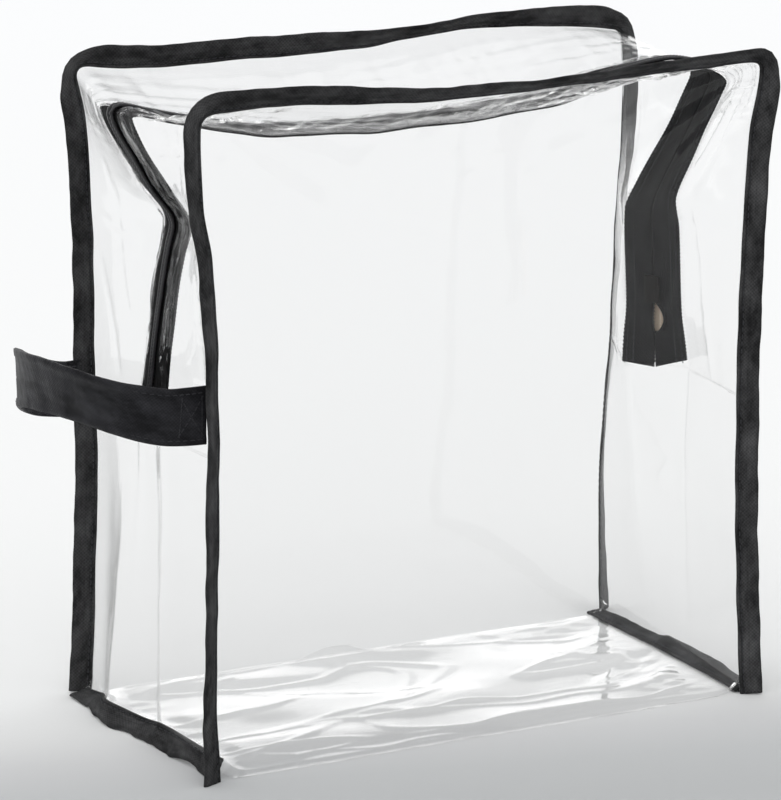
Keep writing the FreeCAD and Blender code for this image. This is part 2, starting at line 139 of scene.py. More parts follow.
FRONT_SEAM = [
    (-138.5, 0, 18), (-140.0, 30, 30), (-139.4, 55, 34), (-138.4, 85, 38), (-137.2, 115, 31),
    (-136.6, 145, 40), (-136.4, 205, 33), (-138.2, 228, 32), (-141.3, 250, 30), (-142.4, 270, 24),
    (-142.4, 283, 22), (-141.6, 288.6, 20), (-138.6, 291.4, 20), (-131, 292.6, 20), (-111, 293.8, 28),
    (-75, 292.2, 34), (-30, 290.0, 47), (26, 291.2, 56), (65, 293.0, 55), (104, 294.3, 50),
    (128, 295.2, 49), (138.0, 295.2, 42), (141.4, 294.0, 34), (142.0, 290.6, 30), (140.6, 282, 30),
    (136.8, 262, 30), (133.3, 215, 30), (130.7, 165, 30), (130.2, 100, 30), (131.2, 45, 30), (133.4, 0, 28)]
BACK_SEAM = [
    (-132.4, 0, 22), (-131.2, 30, 20), (-130.8, 60, 22), (-131.0, 115, 18), (-133.6, 170, 2),
    (-134.6, 205, -2), (-136.2, 240, 0), (-139.2, 270, 2), (-142.4, 286, 2), (-143.6, 292.4, 2),
    (-141.6, 294.8, 2), (-131, 294.2, 2), (-98, 292.6, -6), (-34, 293.4, -16), (0, 294.0, -30),
    (22, 296.6, -48), (58, 299.0, -44), (90, 298.2, -28), (123, 295.2, -6), (136.6, 293.4, 2),
    (140.6, 292.2, 6), (142.4, 288.6, 10), (143.8, 278, 12), (145.2, 262, 16), (145.1, 235, 22),
    (144.4, 205, 34), (144.8, 170, 46), (144.0, 120, 54), (142.8, 70, 54), (144.2, 35, 44), (146.0, 0, 36)]

# The base seams: y, x, z and how far the bound edge points down, in degrees
BASE_SEAM = {
    LEFT: [(-69, -136.2, 9.7, 58), (-45, -137.0, 9.7, 58), (-23, -137.4, 9.9, 61), (-14, -139.8, 10.9, 76),
           (-6, -134.8, 7.4, 38), (8, -135.8, 5.9, 28), (18, -140.0, 7.7, 40), (29, -144.6, 10.0, 60),
           (41, -139.8, 8.4, 45), (54, -135.4, 4.7, 21), (68, -135.6, 2.8, 10)],
    RIGHT: [(-69, 131.6, 1.6, 2), (-58, 132.6, 1.7, -10), (-40, 133.6, 1.8, -14), (-10, 135.0, 2.0, -24),
            (6, 135.6, 2.0, -20), (18, 136.0, 1.8, -6), (50, 137.0, 1.6, -4), (70, 137.6, 1.6, 0)]}

# The zipper's middle: x, z and how far its front edge turns outward, in degrees
ZIPPER = [
    (-138.0, 142, 8), (-136.0, 160, 8), (-131.5, 195, 8), (-126.6, 224, 8), (-124.6, 233, 6),
    (-126.6, 239.5, 3), (-135.2, 250.5, 0), (-144.2, 265, 0), (-152.8, 279.5, 0), (-154.6, 286, 0),
    (-150.5, 287, 0), (-139.0, 284, 0), (-118.0, 279.0, 0), (-80.0, 272.5, 0), (-10.0, 271.0, 0),
    (55.0, 275.0, 0), (100.0, 283.5, 0), (130.0, 287.5, 0), (149.0, 284.0, 0), (155.0, 278.5, 0),
    (152.4, 271.0, -2), (140.2, 249.0, -2), (127.0, 226.5, 5), (124.3, 218.0, 17), (124.4, 212, 21),
    (124.8, 205, 22), (126.9, 170, 23), (127.5, 156, 34), (128.2, 142, 47)]
LEFT_END, RIGHT_END = (-138, 142), (128.5, 142)     # the lower ends of the tapes

# Places (x, z) on the zipper, and those on the seams that lie beside them
BESIDE = [((-138, 142), (-134, 142)), ((-124, 232), (-137, 236)), ((-140, 266), (-140, 270)),
          ((-151, 286), (-140, 290)), ((-118, 279), (-116, 293)), ((-10, 271), (-10, 292)),
          ((100, 283.5), (101, 296)), ((155, 278.5), (142, 291)), ((141, 249), (141, 258)),
          ((124, 217), (138, 219)), ((128.5, 142), (138, 142))]

BINDING_REACH = 10.5     # how far a bound edge stands off its seam
TAPE_REACH = 16.0        # from the zipper's middle to a tape's outer edge
COIL_GAP = 0.25          # from the zipper's middle to a tape
SHUT_GAP = 0.06          # the same on the lower runs, where the tapes almost meet
COIL_WIDTH = 2.4
COIL_RISE = 2.2
COIL_PITCH = 1.7         # drawn a little coarser than a real coil, so that its turns show
# The opening below the slider: its heights, and how far it pulls the front and rear tapes apart
LENS_LOW, LENS_HIGH, LENS_FRONT, LENS_REAR = 158.5, 173.2, 4.6, 0.9
FIN_DEPTH = 3.6          # how far film runs into a panel's binding
BASE_FIN_DEPTH = 3.4     # how far it runs into a base binding
BASE_HALF = 70.0         # half the length of a base seam
FOLD_RADIUS = 4.0        # of the plain folds at the front and back of the base
STITCH_PITCH = 3.3
STITCH_INSET = 2.1       # from a binding's sewn edge to its stitches


class Track:
    """A line with two directions along it: across, in the width of the tape that follows it, and out."""

    def __init__(self, place, across, out):
        steps = np.linalg.norm(np.diff(place, axis=0), axis=1)
        self.at = np.concatenate([[0], np.cumsum(steps)])
        self.table = np.hstack([place, across, out])
        self.length = self.at[-1]

    def row(self, at):
        """Place, across and out, as nine numbers, at a length along the line."""
        return np.array([np.interp(at, self.at, column) for column in self.table.T])

    def point(self, at, across=0.0, out=0.0):
        """Point at a length along the line, and at distances across and out from it."""
        row = self.row(at)
        return row[0:3] + row[3:6] * across + row[6:9] * out

    def near(self, x, z):
        """Length along the line to the place nearest to one seen from the front."""
        return self.at[int(np.argmin(np.hypot(self.table[:, 0] - x, self.table[:, 2] - z)))]


def unit(vectors):
    """The same directions, each with a length of 1."""
    return vectors / np.linalg.norm(vectors, axis=-1, keepdims=True)


def seam_track(face):
    """A panel's bound seam. Across is the way that the bound edge stands off it."""
    rows = smooth_curve(FRONT_SEAM if face == FRONT else BACK_SEAM, 620)
    reached = lengths(rows)
    step = unit(np.gradient(rows[:, :2], axis=0))
    tangent = np.column_stack([step[:, 0], np.zeros(len(step)), step[:, 1]])
    flat = np.column_stack([-tangent[:, 2], np.zeros(len(step)), tangent[:, 0]])
    waver = np.array([5 * wobble(at / 34, face * 7.0) + 3 * wobble(at / 11, face * 3.0) for at in reached])
    shift = np.array([0.6 * wobble(at / 18, face * 11.0) for at in reached])
    lean = np.radians(rows[:, 2] + waver)[:, None]
    fin = flat * np.cos(lean) + np.array([0.0, face, 0.0]) * np.sin(lean)
    place = np.column_stack([rows[:, 0], [panel_y(face, z) for z in rows[:, 1]], rows[:, 1]])
    return Track(place + flat * shift[:, None], fin, unit(np.cross(tangent, fin)))


def base_track(side):
    """A seam on the floor at one side. Across points outward, and down where the edge is turned down."""
    rows = smooth_curve(BASE_SEAM[side], 200)
    place = rows[:, [1, 0, 2]]
    down = np.radians(rows[:, 3])
    fin = np.column_stack([side * np.cos(down), np.zeros(len(rows)), -np.sin(down)])
    return Track(place, fin, unit(np.cross(unit(np.gradient(place, axis=0)), fin)))


def zip_track():
    """The zipper's middle. Across points to the front, and out away from the inside of the bag."""
    rows = smooth_curve(ZIPPER, 900)
    step = unit(np.gradient(rows[:, :2], axis=0))
    tangent = np.column_stack([step[:, 0], np.zeros(len(step)), step[:, 1]])
    turn = np.radians(rows[:, 2])
    across = np.column_stack([np.sin(turn) * np.where(rows[:, 0] < 0, -1, 1), -np.cos(turn),
                              np.zeros(len(rows))])
    across = unit(across - tangent * np.sum(across * tangent, axis=1)[:, None])
    reached = lengths(rows)
    calm = np.array([run_calm(x, z) for x, z, _ in rows])
    sway = np.array([1.2 * wobble(at / 70, 4.0) for at in reached]) * calm
    place = np.column_stack([rows[:, 0], sway, rows[:, 1]])
    return Track(place, across, unit(np.cross(across, tangent)))


def run_calm(x, z):
    """0 on the straight run where the slider travels, and 1 away from it."""
    return 1.0 if x < 0 else ease((z - 216) / 16)


SEAMS = {FRONT: seam_track(FRONT), BACK: seam_track(BACK)}
BASES = {LEFT: base_track(LEFT), RIGHT: base_track(RIGHT)}
ZIP = zip_track()


def seam_beside(face, at):
    """Length along a panel's seam beside a length along the zipper."""
    zipper = [ZIP.near(*near) for near, _ in BESIDE]
    seam = [SEAMS[face].near(*far) for _, far in BESIDE]
    return np.interp(at, zipper, seam)


def zip_point(at, reach, lift=0.0):
    """Point of the zipper tape: reach towards the front, lift outward. Its edges curl in a little."""
    x, _, z = ZIP.row(at)[0:3]
    calm = run_calm(x, z)
    away = min(1.0, abs(reach) / 8)
    curl = (-0.0050 * reach * reach * (0.3 + 0.7 * calm)
            + (0.2 + 0.9 * calm) * away * wobble(at / 24, reach / 18, 5.0))
    return ZIP.point(at, reach, lift + curl)


def zip_gap(at, face):
    """From the zipper's middle to a tape: the front tape parts from the rear one below the slider."""
    x, _, z = ZIP.row(at)[0:3]
    if x < 0 or not LENS_LOW < z < LENS_HIGH:
        return COIL_GAP if z > 200 else SHUT_GAP
    opening = math.sin(math.pi * (z - LENS_LOW) / (LENS_HIGH - LENS_LOW)) ** 0.8
    return COIL_GAP + (LENS_FRONT if face == FRONT else LENS_REAR) * opening


# Meshes

def new_piece(name, points, faces, coordinates, material):
    """A smooth mesh piece from points in millimetres, with a UV map in millimetres."""
    mesh = bpy.data.meshes.new(name)
    mesh.from_pydata((np.array(points) * MM).tolist(), [], faces)
    layer = mesh.uv_layers.new(name="UVMap")
    corners = np.zeros(len(mesh.loops), int)
    mesh.loops.foreach_get("vertex_index", corners)
    layer.data.foreach_set("uv", np.array(coordinates, np.float32)[corners].ravel())
    mesh.polygons.foreach_set("use_smooth", [True] * len(mesh.polygons))
    mesh.materials.append(material)
    piece = bpy.data.objects.new(name, mesh)
    bpy.context.collection.objects.link(piece)
    return piece


def sheet_piece(name, rows, material):
    """Film through rows of points, thickened to a closed solid."""
    rows = np.array(rows)
    count, width = rows.shape[:2]
    faces = [(r * width + c, r * width + c + 1, (r + 1) * width + c + 1, (r + 1) * width + c)
             for r in range(count - 1) for c in range(width - 1)]
    over = np.zeros((count, width))
    over[:, 1:] = np.cumsum(np.linalg.norm(np.diff(rows, axis=1), axis=2), axis=1)
    down = np.zeros((count, width))
    down[1:] = np.cumsum(np.linalg.norm(np.diff(rows, axis=0), axis=2), axis=0)
    coordinates = np.stack([over, down], axis=2).reshape(-1, 2)
    piece = new_piece(name, rows.reshape(-1, 3), faces, coordinates, material)
    thickness = bpy.context.scene.bag_sizes.film_thickness
    apply_modifier(piece, "SOLIDIFY", thickness=thickness, offset=0.0)
    make_outward(piece)
    return piece


def swept_piece(name, sections, material):
    """A closed solid through rings of points, with U along it and V round it, in millimetres."""
    sections = np.array(sections)
    count, width = sections.shape[:2]
    faces = [(r * width + c, r * width + (c + 1) % width,
              (r + 1) * width + (c + 1) % width, (r + 1) * width + c)
             for r in range(count - 1) for c in range(width)]
    faces.append(tuple(range(width))[::-1])
    faces.append(tuple((count - 1) * width + c for c in range(width)))
    middle = sections.mean(axis=1)
    along = np.concatenate([[0], np.cumsum(np.linalg.norm(np.diff(middle, axis=0), axis=1))])
    ring = np.linalg.norm(np.diff(sections[count // 2], axis=0), axis=1)
    around = np.concatenate([[0], np.cumsum(ring)])
    coordinates = [(u, v) for u in along for v in around]
    piece = new_piece(name, sections.reshape(-1, 3), faces, coordinates, material)
    make_outward(piece)
    return piece


def make_outward(piece):
    """Turns a closed mesh's faces outward."""
    only(piece)
    bpy.ops.object.mode_set(mode="EDIT")
    bpy.ops.mesh.select_all(action="SELECT")
    bpy.ops.mesh.normals_make_consistent(inside=False)
    bpy.ops.object.mode_set(mode="OBJECT")


def only(piece):
    """Selects one piece alone and makes it active."""
    bpy.ops.object.select_all(action="DESELECT")
    piece.select_set(True)
    bpy.context.view_layer.objects.active = piece


def apply_modifier(piece, kind, **settings):
    """Changes a piece's mesh by a modifier."""
    only(piece)
    modifier = piece.modifiers.new(kind.lower(), kind)
    for key, value in settings.items():
        setattr(modifier, key, value)
    bpy.ops.object.modifier_apply(modifier=modifier.name)


def patch(bottom, top, left, right, over, up):
    """Point of a surface stretched between four curves."""
    corner = ((1 - over) * (1 - up) * bottom(0) + over * (1 - up) * bottom(1)
              + (1 - over) * up * top(0) + over * up * top(1))
    return ((1 - over) * left(up) + over * right(up) + (1 - up) * bottom(over) + up * top(over) - corner)


# Materials

def linear(hex_colour):
    """Linear RGBA from an sRGB hex string."""
    values = [int(hex_colour[i:i + 2], 16) / 255 for i in (1, 3, 5)]
    return [v / 12.92 if v <= 0.04045 else ((v + 0.055) / 1.055) ** 2.4 for v in values] + [1.0]


class Nodes:
    """The node tree of a new material, or of a world."""

    def __init__(self, name, world=None):
        self.material = world or bpy.data.materials.new(name)
        self.material.use_nodes = True
        self.tree = self.material.node_tree
        self.tree.nodes.clear()
        self.output = self.tree.nodes.new("ShaderNodeOutputWorld" if world else "ShaderNodeOutputMaterial")

    def add(self, kind, *values, **named):
        """Adds a node. A second word of its kind is its operation. Values go to its inputs in order, names
        in capitals to the inputs of that name, and small names are its settings. A node given as a value is
        linked by its first output."""
        kind, _, operation = kind.partition(" ")
        node = self.tree.nodes.new("ShaderNode" + kind)
        if operation:
            node.operation = operation
        for name in [name for name in named if name[0].islower()]:
            setattr(node, name, named.pop(name))
        given = list(zip([socket for socket in node.inputs if socket.enabled], values))
        given += [(node.inputs[name.replace("_", " ")], value) for name, value in named.items()]
        for socket, value in given:
            if isinstance(value, bpy.types.Node):
                value = next(output for output in value.outputs if output.enabled)
            if isinstance(value, bpy.types.NodeSocket):
                self.tree.links.new(value, socket)
            else:
                socket.default_value = value
        return node

    def surface(self, shader):
        """Ends the tree with a shader."""
        self.tree.links.new(shader.outputs[0], self.output.inputs["Surface"])
        return self.material


def millimetres(nodes, source="UV"):
    """A coordinate in millimetres: the piece's own UV map, or its place in the object's frame."""
    coordinates = nodes.add("TexCoord").outputs
    if source == "UV":
        return coordinates["UV"]
    return nodes.add("Mapping", coordinates["Object"], Scale=(1000.0, 1000.0, 1000.0))


def patches(nodes, where, spacing, detail=3.0, roughness=0.55, stretch=(1.0, 1.0, 1.0)):
    """Smooth cloudy variation from 0 to 1, whose patches are about the spacing across, in millimetres."""
    mapping = nodes.add("Mapping", where, Scale=stretch)
    return nodes.add("TexNoise", mapping, Scale=1.0 / spacing, Detail=detail, Roughness=roughness)


def threads(nodes, where, along, across):
    """Plain weave from 0 to 1: warp along the tape and weft across it, with their spacings in millimetres."""
    parts = nodes.add("SeparateXYZ", where).outputs
    warp = nodes.add("Math SINE", nodes.add("Math MULTIPLY", parts["X"], 2 * math.pi / along))
    weft = nodes.add("Math SINE", nodes.add("Math MULTIPLY", parts["Y"], 2 * math.pi / across))
    return nodes.add("Math MULTIPLY_ADD", nodes.add("Math MULTIPLY", warp, weft), 0.5, 0.5)


def cloth(name, dark, light, along, across, roughness, sheen, bump, ribs=()):
    """Woven synthetic tape. Threads catch light one by one, so it has a fine grain, and it is lighter in
    patches of painted sheen, mottled at random. Ribs are lower bands across the tape, where a hem is turned
    and sewn, darkened there by painted shade."""
    nodes = Nodes(name)
    where = millimetres(nodes)
    weave = threads(nodes, where, along, across)
    cloud = patches(nodes, where, 24.0, 4.0, 0.62, (1.0, 2.0, 1.0))
    blotch = patches(nodes, where, 5.5, 3.0, 0.6, (1.0, 1.4, 1.0))
    fuzz = patches(nodes, where, 1.1, 2.0, 0.7)
    # painted sheen: lighter patches along the tape, mottled at random by the blotches
    wear_and_painted_sheen = nodes.add("Math MULTIPLY_ADD", cloud, 3.0, -1.1, use_clamp=True)
    wear_and_painted_sheen = nodes.add("Math MULTIPLY_ADD", nodes.add("Math SUBTRACT", blotch, 0.5), 0.9, wear_and_painted_sheen, use_clamp=True)
    grain = nodes.add("Math MULTIPLY_ADD", weave, 0.6, nodes.add("Math MULTIPLY", fuzz, 0.4))
    rubbed_and_painted_sheen = nodes.add("Math MULTIPLY", wear_and_painted_sheen, nodes.add("Math MULTIPLY_ADD", grain, 0.6, 0.5))
    faint = nodes.add("Math MULTIPLY", grain, 0.2)
    tone = nodes.add("Math MULTIPLY_ADD", rubbed_and_painted_sheen, 0.85, faint, use_clamp=True)
    height = grain
    over_tape = nodes.add("SeparateXYZ", where).outputs["Y"] if ribs else None
    # painted shade: each band darkens the colour where a hem is turned, and at the fold, and lowers the
    # surface there
    for centre, half, depth in ribs:
        off = nodes.add("Math ABSOLUTE", nodes.add("Math SUBTRACT", over_tape, centre))
        band = nodes.add("Math SUBTRACT", 1.0, nodes.add("Math DIVIDE", off, half), use_clamp=True)
        kept = nodes.add("Math SUBTRACT", 1.0, nodes.add("Math MULTIPLY", band, depth))
        tone = nodes.add("Math MULTIPLY", tone, kept)
        height = nodes.add("Math SUBTRACT", height, nodes.add("Math MULTIPLY", band, depth * 1.6))
    colour = nodes.add("Mix", tone, linear(dark), linear(light), data_type="RGBA")
    bumped = nodes.add("Bump", Strength=bump, Distance=0.2 * MM, Height=height)
    folds = nodes.add("Bump", Strength=0.6, Distance=1.8 * MM, Normal=bumped,
                      Height=patches(nodes, where, 11.0, 3.0, 0.55, (1.0, 0.6, 1.0)))
    shine = nodes.add("Math MULTIPLY_ADD", cloud, -0.16, roughness + 0.08)
    return nodes.surface(nodes.add(
        "BsdfPrincipled", Base_Color=colour, Roughness=shine, Normal=folds, Sheen_Weight=sheen,
        Sheen_Roughness=0.5, Sheen_Tint=linear("#b9bcc2"), IOR=1.45, Specular_IOR_Level=0.12))


def film_material(name, tint, ripples, crumples, roughness):
    """Plasticised PVC film, cast clear. Nearly unseen face on; it mirrors more and more towards its edges,
    and small ripples and crumples bend what it mirrors."""
    nodes = Nodes(name)
    where = millimetres(nodes, "OBJECT")
    wide = patches(nodes, where, 46.0, 1.5, 0.4)
    fine = patches(nodes, where, 9.0, 2.0, 0.5, (1.0, 1.0, 0.55))
    ripple = nodes.add("Bump", Strength=ripples, Distance=1.6 * MM, Height=wide)
    normal = nodes.add("Bump", Strength=crumples, Distance=0.22 * MM, Height=fine, Normal=ripple)
    facing = nodes.add("LayerWeight", Blend=0.5, Normal=normal).outputs["Facing"]
    edge = nodes.add("Math POWER", facing, 6.6)
    mirror = nodes.add("Math MULTIPLY_ADD", edge, 0.977, 0.023, use_clamp=True)
    depth = nodes.add("Math POWER", facing, 3.0)
    clear = nodes.add("Mix", depth, linear(tint), linear("#f8f8f8"), data_type="RGBA")
    through = nodes.add("BsdfTransparent", Color=clear)
    gloss = nodes.add("BsdfGlossy", Color=linear("#ffffff"), Roughness=roughness, Normal=normal)
    return nodes.surface(nodes.add("MixShader", mirror, through, gloss))


def nylon(name, colour):
    """Nylon monofilament, coiled and set with heat: smooth, with a small bright glint on each turn."""
    nodes = Nodes(name)
    cloud = patches(nodes, millimetres(nodes, "OBJECT"), 6.0, 3.0, 0.6)
    tone = nodes.add("Mix", cloud, linear(colour), linear("#38383b"), data_type="RGBA")
    shine = nodes.add("Math MULTIPLY_ADD", cloud, 0.2, 0.28)
    return nodes.surface(nodes.add("BsdfPrincipled", Base_Color=tone, IOR=1.53, Roughness=shine))


def metal(name, colour, wear_and_painted_sheen, roughness, plated):
    """Plated zinc casting: a lacquer in the hollows, rubbed through to brighter metal on the edges."""
    nodes = Nodes(name)
    where = millimetres(nodes, "OBJECT")
    cloud = patches(nodes, where, 2.4, 4.0, 0.65)
    edges = nodes.add("NewGeometry").outputs["Pointiness"]
    rubbed_and_painted_sheen = nodes.add("Math MULTIPLY_ADD", edges, 6.0, -2.85, use_clamp=True)
    amount = nodes.add("Math MULTIPLY_ADD", cloud, 0.35, rubbed_and_painted_sheen, use_clamp=True)
    tone = nodes.add("Mix", amount, linear(colour), linear(wear_and_painted_sheen), data_type="RGBA")
    grain = nodes.add("Bump", Strength=0.25, Distance=0.08 * MM, Height=patches(nodes, where, 0.5, 3.0))
    shine = nodes.add("Math MULTIPLY_ADD", cloud, 0.2, roughness)
    return nodes.surface(nodes.add(
        "BsdfPrincipled", Base_Color=tone, Metallic=plated, Normal=grain, Roughness=shine))


_made = {}


def finish(name):
    """The named finish, made once. Weaves give thread spacings along and across, in millimetres: real ones
    are 0.4 to 0.6, too fine to show, so they are drawn about three times as coarse."""
    if name in _made:
        return _made[name]
    look = bpy.context.scene.bag_colours
    # Over a binding, from one sewn edge round the fold to the other: where, how wide and how deep, in painted
    # shade and in height
    shaded_hems = ((1.9, 0.9, 0.55), (5.6, 0.5, 0.2), (10.7, 1.3, 0.3), (15.8, 0.5, 0.2), (19.5, 0.9, 0.55))
    if name == "film":
        # Cast film: glass clear and glossy, with long soft ripples
        made = film_material("soft_clear_pvc", hexed(look.film), ripples=0.30, crumples=0.35, roughness=0.03)
    elif name == "base film":
        # The same film lying on a table: its ripples mirror the room in long sharp bands
        made = film_material("wrinkled_clear_pvc", hexed(look.film), ripples=0.25, crumples=0.15,
                             roughness=0.012)
    elif name == "strip film":
        # The same film bent beside the zipper: small crumples break up its reflections
        made = film_material("creased_clear_pvc", hexed(look.film), ripples=0.8, crumples=1.0, roughness=0.03)
    elif name == "binding":
        # Matt tape with a coarse plain weave, lighter in patches of painted sheen on its faces and darkened
        # by painted shade in its sewn hems
        made = cloth("folded_woven_polypropylene_tape", hexed(look.binding), "#565657", along=1.7, across=1.7,
                     roughness=0.72, sheen=0.02, bump=1.0, ribs=shaded_hems)
    elif name == "tape":
        # Matt black weave that hardly catches light
        made = cloth("woven_polyester_zipper_tape", hexed(look.tape), "#303031", along=1.8, across=1.6,
                     roughness=0.8, sheen=0.0, bump=1.0)
    elif name == "strap":
        # Smoother filament weave, with a silky shine where it bows out
        made = cloth("folded_woven_nylon_strap", hexed(look.strap), "#3c3c40", along=1.6, across=1.6,
                     roughness=0.45, sheen=0.04, bump=0.8)
    elif name == "thread":
        # Twisted thread, a little shinier than the tape it lies on
        made = cloth("twisted_polyester_thread", "#232325", "#56575b", along=0.7, across=0.7,
                     roughness=0.6, sheen=0.2, bump=0.4)
    elif name == "coil":
        # Smooth black monofilament, with a glint on each turn
        made = nylon("heat_set_nylon_coil", hexed(look.coil))
    elif name == "stops":
        # Thin blackened strip, rubbed to a dull brown at its corners
        made = metal("pressed_black_brass", "#2b2a29", "#6d6257", roughness=0.3, plated=0.85)
    elif name == "slider":
        # Nearly black plating over a casting, with faint brown edges
        made = metal("cast_zinc_dark_bronze_plate", hexed(look.slider), "#2a2624",
                     roughness=0.3, plated=0.85)
    elif name == "puller":
        # Pale satin lacquer over a casting, so it reads as a warm beige more than as metal
        made = metal("cast_zinc_pale_bronze_plate", hexed(look.puller), "#f3e6d6",
                     roughness=0.34, plated=0.15)
    else:
        raise KeyError(name)
    _made[name] = made
    return made


def hexed(colour):
    """The sRGB hex string of a colour property."""
    return "#" + "".join(f"{round(max(0.0, min(1.0, value)) * 255):02x}" for value in colour[:3])


def as_property(hex_colour):
    """The numbers of a colour property from an sRGB hex string."""
    return tuple(int(hex_colour[i:i + 2], 16) / 255 for i in (1, 3, 5))


# Film

def panel_curves(face):
    """The four curves that a front or back panel's film is stretched between."""
    seam = SEAMS[face]
    left, right = seam.near(-141.5, 290.5), seam.near(139.5, 291.5)
    low_left, low_right = seam.near(seam.table[0, 0], 9), seam.near(seam.table[-1, 0], 9)

    def up_left(share, reach=0.0):
        return seam.point(low_left + (left - low_left) * share, reach)

    def up_right(share, reach=0.0):
        return seam.point(low_right + (right - low_right) * share, reach)

    def over_top(share, reach=0.0):
        return seam.point(left + (right - left) * share, reach)

    start, stop = up_left(0), up_right(0)

    def bottom(share):
        place = start + (stop - start) * share
        place[2] = edge_lift(place[0], start[0], stop[0], start[2], stop[2]) + FOLD_RADIUS
        place[1] = panel_y(face, place[2])
        return place

    return bottom, over_top, up_left, up_right


def edge_lift(x, left_x, right_x, left_z, right_z):
    """Height of the base film at a place across the bag: it lies low and rises to its sewn edges."""
    from_left = max(0.0, 1 - (x - left_x) / 15)
    from_right = max(0.0, 1 - (right_x - x) / 15)
    return 1.2 + (left_z - 1.2) * from_left ** 2 + (right_z - 1.2) * from_right ** 2


def ripple(x, y):
    """Height of the base film's ripples, like a thick liquid's: long across the bag, with flat shelves."""
    bend = 18 * wobble(x / 90, y / 70, 1.5) + 7 * wobble(x / 36, y / 34, 4.5)
    swell = wobble(x / 96, (y + bend) / 33, 2.0)
    second = wobble(x / 60 + 4, (y + bend) / 20, 6.0)
    lines = 0.0
    for reach, depth, key in ((110, 32, 12.0), (84, 27, 21.0)):
        crest = abs(wobble(x / reach, (y + bend) / depth, key))
        lines += math.exp(-(crest / 0.045) ** 2)
    crumple = 0.0
    near_side = ease((x - 78) / 50) + 0.6 * ease((-x - 100) / 30)
    if near_side > 0:
        crumple = near_side * (1.0 * wobble(x / 11, y / 7, 3.0) + 0.35 * wobble(x / 4.5, y / 3.5, 8.0))
    blister = 6.5 * math.exp(-((x + 12) / 15) ** 2 - ((y - 62) / 9) ** 2)
    return 1.5 * math.tanh(3.2 * swell) + 0.55 * second + 0.6 * lines + crumple + blister


# Sharp creases in the strips beside the zipper: panel, left or right, height and share of the way from the
# seam to the tape at both ends, and how high the crease stands
CREASES = [(BACK, LEFT, 250, 0.30, 214, 0.42, 0.9), (BACK, LEFT, 214, 0.42, 188, 0.62, 0.7),
           (BACK, LEFT, 205, 0.12, 160, 0.52, 1.0), (BACK, LEFT, 226, 0.05, 219, 0.62, 0.6),
           (FRONT, LEFT, 215, 0.55, 158, 0.18, 1.0), (FRONT, LEFT, 262, 0.5, 238, 0.85, 0.9),
           (FRONT, RIGHT, 272, 0.28, 228, 0.80, 1.1), (FRONT, RIGHT, 280, 0.45, 240, 0.88, 0.9),
           (FRONT, RIGHT, 226, 0.72, 146, 0.50, 1.0), (BACK, RIGHT, 236, 0.25, 205, 0.75, 1.0),
           (BACK, RIGHT, 262, 0.35, 222, 0.80, 1.0), (FRONT, LEFT, 236, 0.25, 180, 0.60, 0.7)]


def creased(face, x, z, share):
    """Height of the sharp creases at a place on a strip."""
    height = 0.0
    for panel, side, z_from, from_share, z_to, to_share, tall in CREASES:
        if panel != face or (x > 0) != (side > 0):
            continue
        across, up = (to_share - from_share) * 48, z_to - z_from
        over, rise = (share - from_share) * 48, z - z_from
        part = (over * across + rise * up) / (across ** 2 + up ** 2)
        if not -0.08 < part < 1.08:
            continue
        off = abs(over * up - rise * across) / math.hypot(across, up)
        height += tall * math.exp(-(off / 1.5) ** 1.4) * ease(8 * (part + 0.08)) * ease(8 * (1.08 - part))
    return height


def panel_film(face, over, up, curves):
    """Point of a panel's film, with slack folds towards its corners and top."""
    place = patch(*curves, over, up)
    rim = min(1.0, 9 * min(over, 1 - over, 1 - up + 0.02))
    place[1] += face * rim * 1.4 * wobble(over * 2.6, up * 2.2, face * 5.0)
    top = ease((up - 0.80) / 0.2)
    rumple = 0.9 * wobble(over * 15, up * 26, 3.0) + 0.4 * wobble(over * 40, up * 30, 9.0)
    place[1] += face * rim * top * rumple
    fan = 0.30               # folds fan out this far from each corner, as a share of the panel
    for corner in (0.0, 1.0):
        reach = math.hypot(over - corner, 1 - up)
        turn = math.atan2(1 - up, abs(over - corner) + 1e-6)
        if reach < fan:
            place[1] += face * 1.6 * wobble(turn * 6.5, corner * 9, face) * math.sin(math.pi * reach / fan)
    return place


def shell_rows():
    """Rows of the one sheet that makes the front, base and back."""
    shares = np.concatenate([[-1], np.linspace(0, 1, 101), [2]])
    levels = np.concatenate([np.linspace(0, 0.86, 44), np.linspace(0.875, 1.0, 22)])
    sides = {}
    for face in (FRONT, BACK):
        curves = panel_curves(face)
        over_top, up_left, up_right = curves[1:]
        rows = []
        for up in levels:
            row = []
            for over in shares:
                if over < 0:
                    row.append(up_left(min(up, 0.985), FIN_DEPTH))
                elif over > 1:
                    row.append(up_right(min(up, 0.985), FIN_DEPTH))
                else:
                    row.append(panel_film(face, over, up, curves))
            rows.append(row)
        # The edge inside the binding, gathered at both corners
        around = [0.004 if over <= 0 else 0.996 if over >= 1 else over * 0.97 + 0.015 for over in shares]
        rows.append([over_top(share, FIN_DEPTH) for share in around])
        sides[face] = rows
    front_low, back_low = sides[FRONT][0], sides[BACK][0]
    middle = len(shares) // 2
    front_y, back_y = front_low[middle - 1][1], back_low[middle - 1][1]
    turns = [math.radians(turn) for turn in (20, 45, 70, 90)]
    base = [fold_row(front_low, FRONT, turn) for turn in turns]
    count = 180
    for index in range(1, count):
        y = front_y + FOLD_RADIUS + (back_y - front_y - 2 * FOLD_RADIUS) * index / count
        base.append(base_row(y, shares, index / count))
    base += [fold_row(back_low, BACK, turn) for turn in turns[::-1]]
    return sides[FRONT][::-1] + base + sides[BACK]


def fold_row(low, face, turn):
    """A row of the rounded fold between a panel and the base."""
    row = []
    for point in low:
        drop = FOLD_RADIUS * math.sin(turn)
        inward = FOLD_RADIUS * (1 - math.cos(turn))
        waver = 0.8 * wobble(point[0] / 21, face * 2.0) + 0.4 * wobble(point[0] / 7, face * 4.0)
        row.append(np.array([point[0], point[1] - face * (inward + waver * math.sin(turn)),
                             max(0.3, point[2] - drop)]))
    return row


def base_side(side, y):
    """Row of a base seam's track at a depth."""
    return BASES[side].row(np.interp(y, BASES[side].table[:, 1], BASES[side].at))


